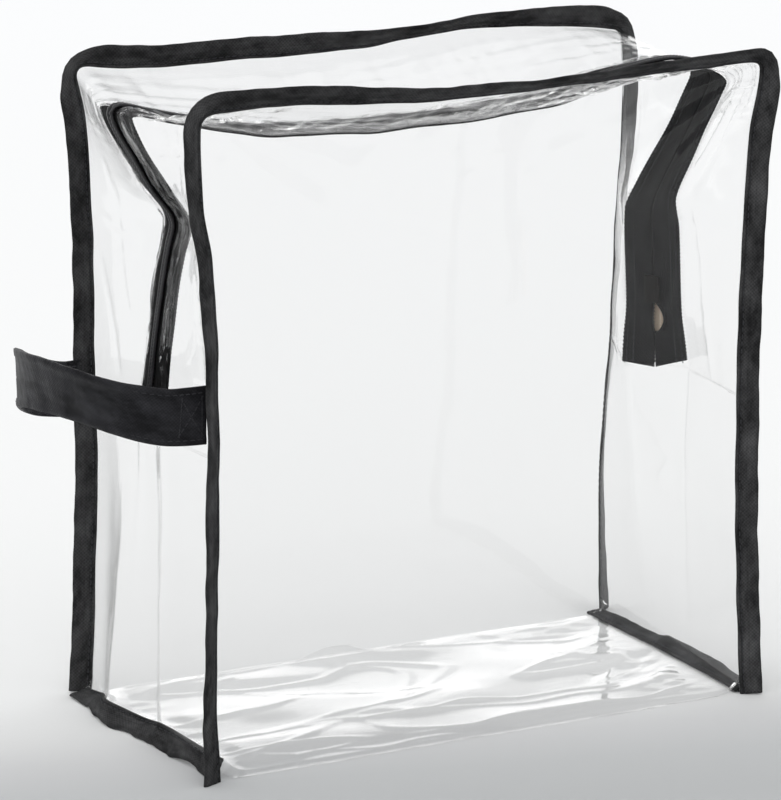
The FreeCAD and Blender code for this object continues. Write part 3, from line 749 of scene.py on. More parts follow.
def base_row(y, shares, share):
    """A row of the base film from one base seam to the other."""
    left, right = base_side(LEFT, y), base_side(RIGHT, y)
    row = []
    settle = min(1.0, 14 * share, 14 * (1 - share))
    height = bpy.context.scene.bag_sizes.ripple_height / (3.2 * MM)
    for over in shares:
        if over < 0 or over > 1:
            edge = left if over < 0 else right
            row.append(edge[0:3] + edge[3:6] * BASE_FIN_DEPTH)
            continue
        place = left[0:3] + (right[0:3] - left[0:3]) * over
        low = edge_lift(place[0], left[0], right[0], left[2], right[2])
        calm = min(1.0, 12 * over, 12 * (1 - over)) * settle
        ripples = calm * (1.3 + height * ripple(place[0], y))
        row.append(np.array([place[0], y, max(0.35, low + ripples)]))
    return row


def gusset_swell(side, over, up):
    """How far a side's film stands out: slack, and two long creases up from the base."""
    crease = 0.0
    for centre, height in ((0.5 - 0.125, 1.5), (0.5 + 0.125, 1.2)):
        drift = centre + 0.03 * (1 - up) * wobble(up * 2.5, centre * 9, side)
        crease += height * max(0.0, 1 - abs(over - drift) / 0.035) ** 1.6
    slack = 1.2 * wobble(over * 2.5, up * 2.4, side * 4.0)
    slack += 0.35 * wobble(over * 9, up * 3, side * 8.0)
    rim = min(1.0, 10 * min(over, 1 - over)) * min(1.0, 6 * up)
    return rim * (slack + crease * (0.35 + 0.65 * up))


def gusset_rows(side):
    """Rows of a side's film below the zipper, from its base seam to the tape's lower end."""
    seams = {face: SEAMS[face] for face in (FRONT, BACK)}
    end_at = ZIP.near(*LEFT_END) + 1.2 if side == LEFT else ZIP.near(*RIGHT_END) - 1.2
    top_z = ZIP.row(end_at)[2]
    legs = {}                # each panel's seam on this side, from the floor up
    for face, seam in seams.items():
        half = seam.at < seam.length / 2 if side == LEFT else seam.at > seam.length / 2
        order = np.argsort(seam.table[half][:, 2])
        legs[face] = (seam.table[half][order], seam.at[half][order])

    def leg(face, low_z, share, reach=0.0):
        table, at = legs[face]
        z = low_z + (top_z - low_z) * share
        return seams[face].point(np.interp(z, table[:, 2], at), reach)

    def bottom(share):
        return base_side(side, -BASE_HALF + 2 * BASE_HALF * share)[0:3]

    depth = 132.0            # of the side at the tape's end, roughly
    marks = [0, 0.5 - TAPE_REACH / depth, 0.5 + TAPE_REACH / depth, 1]
    knots = np.array([leg(FRONT, 9, 1), zip_point(end_at, TAPE_REACH - 2, -0.5),
                      zip_point(end_at, -TAPE_REACH + 2, -0.5), leg(BACK, 9, 1)])

    def top(share):
        return np.array([np.interp(share, marks, column) for column in knots.T])

    low = {FRONT: bottom(0)[2], BACK: bottom(1)[2]}

    def front(share, reach=0.0):
        return leg(FRONT, low[FRONT], share, reach)

    def back(share, reach=0.0):
        return leg(BACK, low[BACK], share, reach)

    rows = []
    for up in np.concatenate([[-1], np.linspace(0, 1, 60)]):
        row = []
        for over in np.concatenate([[-1], np.linspace(0, 1, 81), [2]]):
            if up < 0:
                edge = base_side(side, -BASE_HALF + 2 * BASE_HALF * min(1.0, max(0.0, over)))
                row.append(edge[0:3] + edge[3:6] * BASE_FIN_DEPTH)
            elif over < 0 or over > 1:
                row.append(front(up, FIN_DEPTH) if over < 0 else back(up, FIN_DEPTH))
            else:
                place = patch(bottom, top, front, back, over, up)
                place[0] += side * gusset_swell(side, over, up)
                row.append(place)
        rows.append(row)
    return rows


def strip_wave(face, at, share, x, z):
    """Height of the film's waves beside the zipper: livelier over the top and at the zipper's knees."""
    top = ease((z - 255) / 22)
    knee = math.exp(-((z - (235 if x < 0 else 218)) / 14) ** 2)
    lively = (0.45 + 1.25 * top + 0.6 * knee) * (1.0 if face == FRONT else 0.45)
    radial = wobble(at / (11 - 3 * top), 2.0 + share * 0.4, face * 3.0)
    fine = wobble(at / 4.5, share * 2.2, face * 6.0)
    long = wobble(at / 46, share * (3 + 7 * top), face * 9.0)
    ridge = 1 - abs(wobble(at / 60, share * (4 + 6 * top), face * 13.0)) * 2.2
    waves = 0.9 * radial + 0.28 * fine + 1.0 * long + 0.5 * max(0.0, ridge)
    return bpy.context.scene.bag_sizes.wrinkle_height / MM * math.sin(math.pi * share) ** 0.7 * lively * waves


def lapped_fold(face, at, reach):
    """Folds of the film where it lies sewn on the tape: sharp ridges along it, and small bends."""
    return (0.8 * wobble(at / 60, reach / 1.7, face * 17.0)
            + 0.7 * wobble(at / 20, reach / 1.1, face * 21.0)
            + 0.3 * wobble(at / 7, reach / 2.0, face * 27.0)
            + 1.1 * max(0.0, 1 - 7 * abs(wobble(at / 75, reach / 3.1, face * 31.0)))
            + 0.8 * max(0.0, 1 - 7 * abs(wobble(at / 40, reach / 2.3, face * 37.0))))


def strip_rows(face):
    """Rows of the film between a panel's seam and its side of the zipper, from end to end."""
    seam = SEAMS[face]
    lap = 10.5 if face == FRONT else 4.5     # how far the film lies over the tape
    rows = []
    count = 640
    for index in range(count + 1):
        at = ZIP.length * index / count
        beside = seam_beside(face, at)
        root = seam.point(beside)
        edge = zip_point(at, -face * TAPE_REACH, 0.8)
        ahead = zip_point(min(ZIP.length, at + 2), -face * TAPE_REACH)
        ahead = ahead - zip_point(max(0, at - 2), -face * TAPE_REACH)
        off = np.cross(edge - root, ahead)
        off = off / max(1e-6, np.linalg.norm(off)) * (1 if face == FRONT else -1)
        x, _, z = ZIP.row(at)[0:3]
        row = [seam.point(beside, FIN_DEPTH)]
        for share in 1 - (1 - np.linspace(0, 1, 30)) ** 1.15:
            wave = strip_wave(face, at, share, x, z)
            wave += creased(face, x, z, share) if abs(x) > 100 else 0.0
            row.append(root + (edge - root) * share + off * wave)
        high = 0.15 + 0.75 * run_calm(x, z)
        for reach in np.linspace(TAPE_REACH - 0.8, TAPE_REACH - lap, 20 if face == FRONT else 10):
            into = (TAPE_REACH - reach) / lap
            fold = max(-0.35, lapped_fold(face, at, reach))
            lift = 0.75 + high * fold * math.sin(math.pi * min(1, into * 1.05)) ** 0.5
            row.append(zip_point(at, -face * reach, lift))
        rows.append(row)
    return rows


def make_film():
    """The one sheet of the front, base and back, and the film of both sides."""
    shell = sheet_piece("shell_film", shell_rows(), finish("base film"))
    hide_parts("lower_front_panel", "flap_panel", "base_panel", "back_panel")
    fold_y = -half_depth(FOLD_Z) * MM
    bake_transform(shell)
    for side, label in ((LEFT, "left"), (RIGHT, "right")):
        gusset = sheet_piece(f"{label}_gusset_film", gusset_rows(side), finish("film"))
        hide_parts(f"{label}_gusset")
        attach(gusset, "bag")


def make_strips():
    """The film in front of the zipper and behind it."""
    rear = sheet_piece("rear_strip_film", strip_rows(BACK), finish("strip film"))
    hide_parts("rear_strip")
    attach(rear, "bag")
    front = sheet_piece("front_strip_film", strip_rows(FRONT), finish("strip film"))
    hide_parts("flap_strip", "left_strip_end", "right_strip_end")
    follow_flap(front)


def follow_flap(piece):
    """Bakes the piece's placing into its mesh."""
    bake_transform(piece)


# Bindings

# Round a folded tape: how far across from its sewn edge, and how far off its middle
BINDING_RING = [(0.0, 0.45), (0.6, 0.8), (1.6, 0.85), (2.1, 0.55), (2.6, 0.9), (4.2, 1.0), (5.6, 0.85),
                (7.2, 1.0), (9.0, 0.95), (10.0, 0.6), (10.5, 0.0), (10.0, -0.6), (9.0, -0.95), (7.2, -1.0),
                (5.6, -0.85), (4.2, -1.0), (2.6, -0.9), (2.1, -0.55), (1.6, -0.85), (0.6, -0.8), (0.0, -0.45)]

# Corners where the tape is folded tight: place (x, z), width left there, and how far along it narrows
CORNERS = {FRONT: [((143, 293), 0.82, 7.0), ((-141.4, 289), 0.97, 6.0)],
           BACK: [((-143, 294), 0.62, 8.0), ((141.4, 291), 0.80, 7.0)]}


def binding_sections(track, start, stop, step, seed, corners=(), crumple=0.0):
    """Rings of a tape folded over a seam, a little uneven in width and thickness, and above the floor."""
    trims = [(track.near(*place), share, reach) for place, share, reach in corners]
    width = bpy.context.scene.bag_sizes.binding_width / (BINDING_REACH * MM)
    sections = []
    for at in np.linspace(start, stop, int(abs(stop - start) / step) + 2):
        broad = width * (1 + 0.035 * wobble(at / 19, seed) + 0.02 * wobble(at / 6, seed + 3))
        for near, share, reach in trims:
            broad *= 1 - (1 - share) * math.exp(-((at - near) / reach) ** 2)
        puff = 1 + 0.22 * wobble(at / 9, seed + 6)
        broad *= 1 + 0.22 * crumple * wobble(at / 13, seed + 9)
        ring = []
        for across, side in BINDING_RING:
            bend = 2.2 * wobble(at / 12, seed + 12) + 1.1 * wobble(at / 5, across / 9, seed + 14)
            buckle = crumple * (across / BINDING_REACH) * bend
            place = track.point(at, across * broad, side * puff + buckle)
            place[2] = max(place[2], 0.15)
            ring.append(place)
        sections.append(ring)
    return sections


def stitch_piece(name, spots, radius, length):
    """Many short raised stitches in one mesh. A spot is a place, the way along, and the way off the cloth."""
    points, faces, coordinates = [], [], []
    for place, along, off in spots:
        over = np.cross(along, off)
        first = len(points)
        for share, scale in ((-0.5, 0.35), (-0.3, 0.95), (0.3, 0.95), (0.5, 0.35)):
            for turn in range(6):
                angle = math.pi * turn / 3
                points.append(place + along * (length * share) + (over * math.cos(angle)
                              + off * math.sin(angle) * 0.8) * radius * scale)
                coordinates.append((length * share, radius * angle))
        for ring in range(3):
            for turn in range(6):
                here = first + ring * 6
                faces.append((here + turn, here + (turn + 1) % 6, here + 6 + (turn + 1) % 6, here + 6 + turn))
        faces.append(tuple(first + turn for turn in range(6))[::-1])
        faces.append(tuple(first + 18 + turn for turn in range(6)))
    piece = new_piece(name, points, faces, coordinates, finish("thread"))
    make_outward(piece)
    return piece


def stitch_row(track, start, stop, pitch, across, off):
    """Spots of a row of stitches on both faces of a tape, off its middle by its half thickness."""
    spots = []
    for at in np.arange(start, stop, pitch):
        along = unit(track.point(at + 0.5, across) - track.point(at - 0.5, across))
        row = track.row(at)
        for side in (1, -1):
            spots.append((track.point(at, across, side * off), along, row[6:9] * side))
    return spots


def seam_stitches(track, margin):
    """Spots of the stitches along a binding, clear of its ends by a margin."""
    return stitch_row(track, margin, track.length - margin, STITCH_PITCH, STITCH_INSET, off=0.85)


def make_bindings():
    """Folded tape over the edges of both panels, and over the sides of the base."""
    look = finish("binding")
    front = swept_piece("front_binding_tape", binding_sections(
        SEAMS[FRONT], 0.3, SEAMS[FRONT].length - 0.3, step=1.6, seed=2.0, corners=CORNERS[FRONT]), look)
    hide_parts("flap_binding", "left_front_binding", "right_front_binding")
    follow_flap(front)
    back = swept_piece("back_binding_tape", binding_sections(
        SEAMS[BACK], 0.3, SEAMS[BACK].length - 0.3, step=1.6, seed=5.0, corners=CORNERS[BACK]), look)
    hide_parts("back_binding")
    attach(back, "bag")
    for side, label in ((LEFT, "left"), (RIGHT, "right")):
        crumple = 1.0 if side == LEFT else 0.35
        base = swept_piece(f"{label}_base_binding_tape", binding_sections(
            BASES[side], 0.2, BASES[side].length - 0.2, step=1.2, seed=8.0 + side, crumple=crumple), look)
        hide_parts(f"{label}_base_binding")
        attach(base, "bag")


def make_stitching():
    """The stitches of the bindings, and two rows on each zipper tape."""
    front = stitch_piece("front_binding_stitches", seam_stitches(SEAMS[FRONT], 4),
                         radius=0.28, length=2.4)
    follow_flap(front)
    rear_spots = seam_stitches(SEAMS[BACK], 4)
    for side in (LEFT, RIGHT):
        rear_spots += seam_stitches(BASES[side], 6)
    rear = stitch_piece("back_and_base_binding_stitches", rear_spots, radius=0.28, length=2.4)
    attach(rear, "bag")
    for face, label in ((FRONT, "front"), (BACK, "rear")):
        spots = []
        for reach in (TAPE_REACH - 2.4, TAPE_REACH - 5.6):
            for at in np.arange(3, ZIP.length - 3, STITCH_PITCH):
                along = unit(zip_point(at + 0.5, -face * reach) - zip_point(at - 0.5, -face * reach))
                off = ZIP.row(at)[6:9]
                spots.append((zip_point(at, -face * reach, -0.45), along, -off))
        piece = stitch_piece(f"{label}_zipper_tape_stitches", spots, radius=0.24, length=2.3)
        if face == FRONT:
            follow_flap(piece)
        else:
            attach(piece, "bag")


# Zipper

def tape_sections(face):
    """Rings of one zipper tape: a corded inner edge, a flat body and a looped outer edge."""
    sections = []
    count = int(ZIP.length / 0.9)
    slant, slanted_rings = 6.0, 8     # the cut ends slant, less at the start and on the rear tape
    start_cut, stop_cut = (0.5, 0.7) if face == FRONT else (0.3, 0.4)
    for index in range(count + 1):
        at = ZIP.length * index / count
        gap = zip_gap(at, face)
        outer = TAPE_REACH - 0.6 * (index % 2)
        ring = []
        for reach, lift in ((gap, 0.25), (gap + 0.9, 0.42), (gap + 2.6, 0.3), (5.0, 0.3), (8.0, 0.3),
                            (11.0, 0.3), (13.6, 0.3), (15.2, 0.36), (outer, 0.2), (outer, -0.2),
                            (15.2, -0.36), (13.6, -0.3), (11.0, -0.3), (8.0, -0.3), (5.0, -0.3),
                            (gap + 2.6, -0.3), (gap + 0.9, -0.42), (gap, -0.25)):
            reach = max(reach, gap + 0.2) if lift else reach
            over = slant * (reach / TAPE_REACH)
            cut = 0.0
            if index < slanted_rings:
                cut = over * (1 - index / slanted_rings) * start_cut
            elif index > count - slanted_rings:
                cut = -over * (1 - (count - index) / slanted_rings) * stop_cut
            ring.append(zip_point(min(ZIP.length, max(0.0, at + cut)), -face * reach, lift))
        sections.append(ring)
    return sections


def coil_sections(face):
    """Rings of one half of the coil, swelling and narrowing with each turn of the filament."""
    sections = []
    count = int(ZIP.length / COIL_PITCH) * 2
    sides = 8
    for index in range(2, count - 1):
        at = ZIP.length * index / count
        turn = (index + (1 if face == FRONT else 0)) % 2
        swell = 1.0 if turn else 0.58
        inner = zip_gap(at, face) - (0.3 if turn else -0.25)
        middle = inner + COIL_WIDTH * 0.5
        ring = []
        for step in range(sides):
            angle = 2 * math.pi * step / sides + 0.2
            reach = middle + COIL_WIDTH * 0.5 * math.cos(angle) * (1.0 if turn else 0.86)
            lift = 0.35 + COIL_RISE * 0.5 + COIL_RISE * 0.5 * swell * math.sin(angle)
            ring.append(zip_point(at, -face * reach, lift))
        sections.append(ring)
    return sections


def make_tapes():
    """The rear and the front zipper tape."""
    rear = swept_piece("rear_zipper_tape", tape_sections(BACK), finish("tape"))
    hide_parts("rear_tape")
    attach(rear, "bag")
    front = swept_piece("front_zipper_tape", tape_sections(FRONT), finish("tape"))
    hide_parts("flap_tape", "left_tape_end", "right_tape_end")
    follow_flap(front)


def make_coils():
    """The two halves of the zipper, one sewn to each tape."""
    rear = swept_piece("rear_zipper_coil", coil_sections(BACK), finish("coil"))
    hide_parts("rear_coil")
    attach(rear, "bag")
    front = swept_piece("front_zipper_coil", coil_sections(FRONT), finish("coil"))
    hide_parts("flap_coil", "left_coil_end", "right_coil_end")
    follow_flap(front)


# Metal pieces, modelled flat at the origin with X across, Y up the run and Z outward, then set in place

def run_matrix(place, across, out):
    """Places a piece modelled at the origin, in millimetres."""
    up = np.cross(out, across)
    columns = np.column_stack([across, up, out, place])
    return Matrix([list(row) for row in columns] + [[0, 0, 0, 1]])


def set_in_place(piece, matrix):
    """Moves a piece's mesh to its place and turns it to metres."""
    piece.data.transform(matrix)
    piece.data.transform(Matrix.Scale(MM, 4))
    piece.data.update()


def start_block(name, centre, size):
    """A block primitive of a size at a place, in millimetres."""
    if bpy.context.mode != "OBJECT":
        bpy.ops.object.mode_set(mode="OBJECT")
    bpy.ops.object.select_all(action="DESELECT")
    bpy.ops.mesh.primitive_cube_add(size=1, location=centre, scale=size)
    bpy.ops.object.transform_apply(location=True, rotation=False, scale=True)
    piece = bpy.context.active_object
    piece.name = piece.data.name = name
    return piece


def pick_faces(piece, test):
    """Selects the faces whose centre and normal pass a test, in edit mode."""
    bpy.ops.object.mode_set(mode="OBJECT")
    for polygon in piece.data.polygons:
        polygon.select = bool(test(polygon.center, polygon.normal))
    for edge in piece.data.edges:
        edge.select = False
    for vertex in piece.data.vertices:
        vertex.select = False
    for polygon in piece.data.polygons:
        if polygon.select:
            for index in polygon.vertices:
                piece.data.vertices[index].select = True
    bpy.ops.object.mode_set(mode="EDIT")
    bpy.ops.mesh.select_mode(type="FACE")


def grow(offset):
    """Extrudes the selected faces by an offset."""
    bpy.ops.mesh.extrude_region_move(TRANSFORM_OT_translate={"value": offset})


def soften(piece, width):
    """Rounds the edges and smooths the faces of a finished metal piece."""
    if bpy.context.mode != "OBJECT":
        bpy.ops.object.mode_set(mode="OBJECT")
    apply_modifier(piece, "BEVEL", width=width, segments=3, limit_method="ANGLE",
                   angle_limit=math.radians(35), harden_normals=False)
    only(piece)
    bpy.ops.object.mode_set(mode="EDIT")
    bpy.ops.mesh.select_all(action="SELECT")
    bpy.ops.mesh.remove_doubles(threshold=0.02)
    bpy.ops.object.mode_set(mode="OBJECT")
    bpy.ops.object.shade_smooth_by_angle(angle=math.radians(40))


def joined(name, pieces):
    """One piece from several."""
    bpy.ops.object.select_all(action="DESELECT")
    for piece in pieces:
        piece.select_set(True)
    bpy.context.view_layer.objects.active = pieces[0]
    bpy.ops.object.join()
    result = bpy.context.active_object
    result.name = result.data.name = name
    return result


def dress(piece, look, body):
    """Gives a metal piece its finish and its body."""
    piece.data.materials.clear()
    piece.data.materials.append(finish(look))
    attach(piece, body)


RUN_UP = Vector(next(j for j in frame["joints"] if j["name"] == "slider_travel")["axis"])
SWING = next(j for j in frame["joints"] if j["name"] == "puller_swing")
RUN_ACROSS = np.array(SWING["axis"], float)
AXLE = np.array(SWING["pos_m"], float) / MM
RUN_OUT = unit(np.cross(np.array(RUN_UP), RUN_ACROSS))


def make_stops():
    """A pressed metal stop over the coil at each end of the zipper."""
    for side, label, z in ((LEFT, "left", 158.0), (RIGHT, "right", 157.6)):
        at = ZIP.near(*((-137.0, z) if side == LEFT else (127.6, z)))
        row = ZIP.row(at)
        piece = start_block(f"{label}_zipper_end_stop", (0, 0, 2.9), (6.2, 3.0, 0.7))
        pick_faces(piece, lambda centre, normal: normal.z > 0.9)
        bpy.ops.mesh.inset(thickness=0.7, depth=0.25)
        pick_faces(piece, lambda centre, normal: abs(normal.x) > 0.9)
        bpy.ops.transform.resize(value=(1.0, 0.8, 1.0))
        pick_faces(piece, lambda centre, normal: normal.z < -0.9)
        bpy.ops.mesh.inset(thickness=0.5, depth=-0.2)
        soften(piece, 0.18)
        set_in_place(piece, run_matrix(row[0:3], row[3:6], row[6:9]))
        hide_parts(f"{label}_end_stop")
        dress(piece, "stops", "bag")


def slider_plate(name, middle, dome):
    """A plate of the slider, at a height: waisted, and domed on the side away from the coil."""
    width, length = 9.0, 13.0
    plate = start_block(name, (0, length / 2, middle), (width, length, 1.4))
    pick_faces(plate, lambda centre, normal: True)
    bpy.ops.mesh.subdivide(number_cuts=3)
    bpy.ops.object.mode_set(mode="OBJECT")
    for vertex in plate.data.vertices:
        share = vertex.co.y / length
        vertex.co.x *= 0.78 + 0.22 * math.cos(2 * math.pi * (share - 0.92)) ** 2
        if (vertex.co.z - middle) * dome > 0:
            vertex.co.z += dome * (1 - (vertex.co.x / (width / 2)) ** 2)
    return plate


def make_slider():
    """A cast slider: a waisted upper plate with a raised bridge, a lower plate, and the post between."""
    upper = slider_plate("slider_upper", 3.5, 0.1)
    lower = slider_plate("slider_lower", -1.3, -0.2)
    post = start_block("slider_post", (0, 11.0, 1.1), (0.7, 3.6, 3.6))
    bridge = start_block("slider_bridge", (0, 3.5, 4.6), (2.0, 1.0, 1.2))
    pick_faces(bridge, lambda centre, normal: normal.z > 0.9)
    grow((0, 0.1, 1.0))
    grow((0, 0.35, 0.85))
    pick_faces(bridge, lambda centre, normal: normal.y > 0.9 and centre.z > 5.9)
    grow((0, 5.2, 0.0))
    far = start_block("slider_bridge_foot", (0, 9.85, 5.4), (2.0, 0.9, 2.8))
    for piece in (upper, lower, post, bridge, far):
        soften(piece, 0.22)
    slider = joined("zipper_slider", [upper, lower, post, bridge, far])
    # The puller's axle stands over the slider, this far up the run and out
    axle_up, axle_out = 8.1, 5.2
    base = AXLE - np.array(RUN_UP) * axle_up - RUN_OUT * axle_out
    set_in_place(slider, run_matrix(base, -RUN_ACROSS, RUN_OUT))
    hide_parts("slider")
    dress(slider, "slider", "slider")


def make_puller():
    """A cast pull: a ring round the bridge and a tapered tongue with a raised rib and a rim."""
    ring = start_block("pull_ring", (0, 0, 0), (8.0, 1.2, 1.2))
    arms = []
    for side in (-1, 1):
        arm = start_block("pull_arm", (side * 3.2, -3.5, 0), (1.6, 6.8, 1.3))
        pick_faces(arm, lambda centre, normal: normal.y < -0.9)
        grow((-side * 0.25, -1.2, 0))
        arms.append(arm)
    tongue = start_block("pull_tongue", (0, -10.0, 0), (9.0, 5.4, 1.5))
    pick_faces(tongue, lambda centre, normal: normal.y < -0.9)
    grow((0, -9.0, 0))
    bpy.ops.transform.resize(value=(0.92, 1.0, 1.0))
    grow((0, -10.5, 0))
    bpy.ops.transform.resize(value=(1.06, 1.0, 1.0))
    grow((0, -3.6, 0))
    bpy.ops.transform.resize(value=(0.55, 1.0, 0.9))
    pick_faces(tongue, lambda centre, normal: abs(normal.z) > 0.9 and centre.y > -33)
    bpy.ops.mesh.inset(thickness=0.9, depth=-0.35)
    ribs = []
    for side in (-1, 1):
        rib = start_block("pull_rib", (0, -20.0, side * 0.45), (1.1, 20.0, 0.6))
        pick_faces(rib, lambda centre, normal: normal.z * side > 0.9)
        bpy.ops.transform.resize(value=(0.35, 0.96, 1.0))
        ribs.append(rib)
    parts = [ring, tongue] + arms + ribs
    for piece in parts:
        soften(piece, 0.25)
    puller = joined("zipper_puller", parts)
    set_in_place(puller, run_matrix(AXLE, -RUN_ACROSS, RUN_OUT))
    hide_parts("puller")
    dress(puller, "puller", "puller")


# Handle

# The strap's middle line from the front binding to the back one: x, y, z
STRAP_ROUTE = [(-141.5, -62.4, 163.0), (-150, -61.6, 163.0), (-160, -60.4, 163.6), (-171, -53, 165.5),
               (-181.5, -38, 168.0), (-189, -18, 169.8), (-191.5, 2, 169.2), (-189, 22, 166.5),
               (-181.5, 41, 161.6), (-172, 54.6, 155.4), (-160, 61.4, 150.2), (-150, 62.6, 148.2),
               (-141.5, 63.2, 148.0)]
# Round the folded strap: how far across from its middle line, and how far out
STRAP_RING = [(13.0, 0.0), (12.7, 0.95), (11.2, 1.2), (9.6, 1.15), (9.0, 0.8), (6.0, 0.85), (0.8, 0.95),
              (0.0, 0.8), (-0.8, 0.95), (-6.0, 0.85), (-9.0, 0.8), (-9.6, 1.15), (-11.2, 1.2), (-12.7, 0.95),
              (-13.0, 0.0), (-12.7, -0.95), (-11.2, -1.1), (-9.0, -0.85), (0.0, -0.9), (9.0, -0.85),
              (11.2, -1.1), (12.7, -0.95)]


def strap_track():
    """The strap's line. Across points up, tipped a little, and out away from the bag."""
    place = smooth_curve(STRAP_ROUTE, 220)
    inside = [-120.0, 0, 160]
    along = unit(np.gradient(place, axis=0))
    share = np.linspace(0, 1, len(place))
    tip = np.radians(9 * np.sin(np.pi * share) + 7 * np.sin(2 * np.pi * share))
    out = unit(np.cross(along, np.array([0.0, 0.0, 1.0])))
    out = np.where(np.sum(out * (place - inside), axis=1)[:, None] < 0, -out, out)
    up = np.array([0.0, 0.0, 1.0]) * np.cos(tip)[:, None] + out * np.sin(tip)[:, None]
    up = unit(up - along * np.sum(up * along, axis=1)[:, None])
    out = unit(np.cross(up, along))
    out = np.where(np.sum(out * (place - inside), axis=1)[:, None] < 0, -out, out)
    return Track(place, up, out)


def strap_sections(track):
    """Rings of the strap, which buckles, curls and wavers a little between its sewn ends."""
    sections = []
    for at in np.linspace(0, track.length, 210):
        share = at / track.length
        buckle = 0.7 * math.sin(math.pi * share) * wobble(share * 9, 3.0)
        ring = []
        for across, out in STRAP_RING:
            curl = 0.012 * across * across * wobble(share * 4, 8.0) * math.sin(math.pi * share)
            drift = 0.35 * wobble(share * 22, across / 9, 4.0)
            ring.append(track.point(at, across * (1 + 0.02 * wobble(share * 14, 1.0)),
                                    out + buckle + curl + drift * min(1.0, 8 * share, 8 * (1 - share))))
        sections.append(ring)
    return sections


def strap_stitches(track):
    """Spots along both hems, and at each end a box with a cross in it."""
    hem, pitch = 10.4, 3.2
    spots = stitch_row(track, 3, track.length - 3, pitch, -hem, off=1.2)
    spots += stitch_row(track, 3, track.length - 3, pitch, hem, off=1.2)
    # The diagonals and upright sides of a box: how far along the strap and across it
    lines = [((0, -8), (10, 8)), ((0, 8), (10, -8)), ((0, -8), (0, 8)), ((10, -8), (10, 8))]
    for near in (2.0, track.length - 12.0):
        for share in np.linspace(0, 1, 8):
            for first, last in lines:
                run, rise = last[0] - first[0], last[1] - first[1]
                at = near + first[0] + run * share
                across = first[1] + rise * share
                along = unit(track.point(at + run * 0.02, across + rise * 0.02) - track.point(at, across))
                spots.append((track.point(at, across, 0.95), along, track.row(at)[6:9]))
    return spots


def make_handle():
    """A folded woven strap, hemmed at both edges and box-stitched to the bindings."""
    track = strap_track()
    strap = swept_piece("handle_strap_cloth", strap_sections(track), finish("strap"))
    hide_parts("handle_strap", "handle_front_tab", "handle_back_tab")
    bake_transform(strap)
    sewing = stitch_piece("handle_stitches", strap_stitches(track), radius=0.27, length=2.2)
    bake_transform(sewing)


# Floor, light and camera

VIEW_ALONG = (0.495, 0.869, 0.0)     # the camera looks this way, seen from above
PAINTED_SHADE_ALONG = (0.25, 0.968, 0.0)     # the floor's painted shade turns to white this way


def set_tones(ramp, stops):
    """Gives a colour ramp its places from 0 to 1 and their sRGB colours."""
    elements = ramp.color_ramp.elements
    while len(elements) < len(stops):
        elements.new(0.5)
    for element, (place, colour) in zip(elements, stops):
        element.position = place
        element.color = linear(colour)


def paper_floor():
    """Seamless matt paper: white behind the bag, with a soft grey shade painted into its colour in front of
    it.
    """
    nodes = Nodes("matt_white_paper_painted_shade")
    where = nodes.add("TexCoord").outputs["Object"]
    away = nodes.add("VectorMath DOT_PRODUCT", where, PAINTED_SHADE_ALONG)
    near, far = -1.5, 2.1     # metres from the bag at the ends of the ramp
    share = nodes.add("Math MULTIPLY_ADD", away, 1 / (far - near), -near / (far - near), use_clamp=True)
    # painted shade: the floor's colour greys in front of the bag and turns white behind it
    ramp = nodes.add("ValToRGB", share)
    set_tones(ramp, [((at - near) / (far - near), colour) for at, colour in (
        (-1.5, "#dcdddd"), (-0.5, "#c6c7c8"), (-0.16, "#bfc1c2"), (-0.11, "#c6c8c9"), (-0.07, "#d2d3d4"),
        (-0.03, "#e4e5e5"), (0.02, "#f3f4f4"), (0.08, "#f8f9f9"), (0.3, "#fafbfb"), (2.0, "#fdfeff"))])
    fibres = patches(nodes, nodes.add("Mapping", where, Scale=(1000.0, 1000.0, 1000.0)), 1.2, 3.0)
    bump = nodes.add("Bump", Strength=0.05, Distance=0.1 * MM, Height=fibres)
    return nodes.surface(nodes.add("BsdfDiffuse", Color=ramp, Normal=bump))


def window(nodes, height, low, high, sharpness):
    """1 between two heights of the room and 0 outside them, with soft edges."""
    over = nodes.add("Math MULTIPLY", nodes.add("Math SUBTRACT", height, low), 30.0, use_clamp=True)
    under = nodes.add("Math MULTIPLY", nodes.add("Math SUBTRACT", high, height), sharpness, use_clamp=True)
    return nodes.add("Math MULTIPLY", over, under)


def strip_lights(nodes, parts, room):
    """Five upright strip lights round the table, weaker behind it."""
    turn = nodes.add("Math ARCTAN2", parts["Y"], parts["X"])
    strip = nodes.add("Math COSINE", nodes.add("Math MULTIPLY_ADD", turn, 5.0, 0.9))
    strip = nodes.add("Math MULTIPLY", nodes.add("Math SUBTRACT", strip, 0.93), 22.0, use_clamp=True)
    boxes = nodes.add("Math MULTIPLY", strip, window(nodes, parts["Z"], 0.03, 0.86, 12.0))
    nearer = nodes.add("Math SUBTRACT", 1.0, nodes.add("Math MULTIPLY", room, 0.86))
    return nodes.add("Math MULTIPLY", nodes.add("Math MULTIPLY", boxes, nearer), 5.0)


def back_softbox(nodes, parts, ahead):
    """One long low softbox across the back of the table."""
    behind = nodes.add("Math MULTIPLY_ADD", ahead, 4.0, -1.2, use_clamp=True)
    return nodes.add("Math MULTIPLY", window(nodes, parts["Z"], 0.01, 0.42, 30.0),
                     nodes.add("Math MULTIPLY", behind, 0.62))


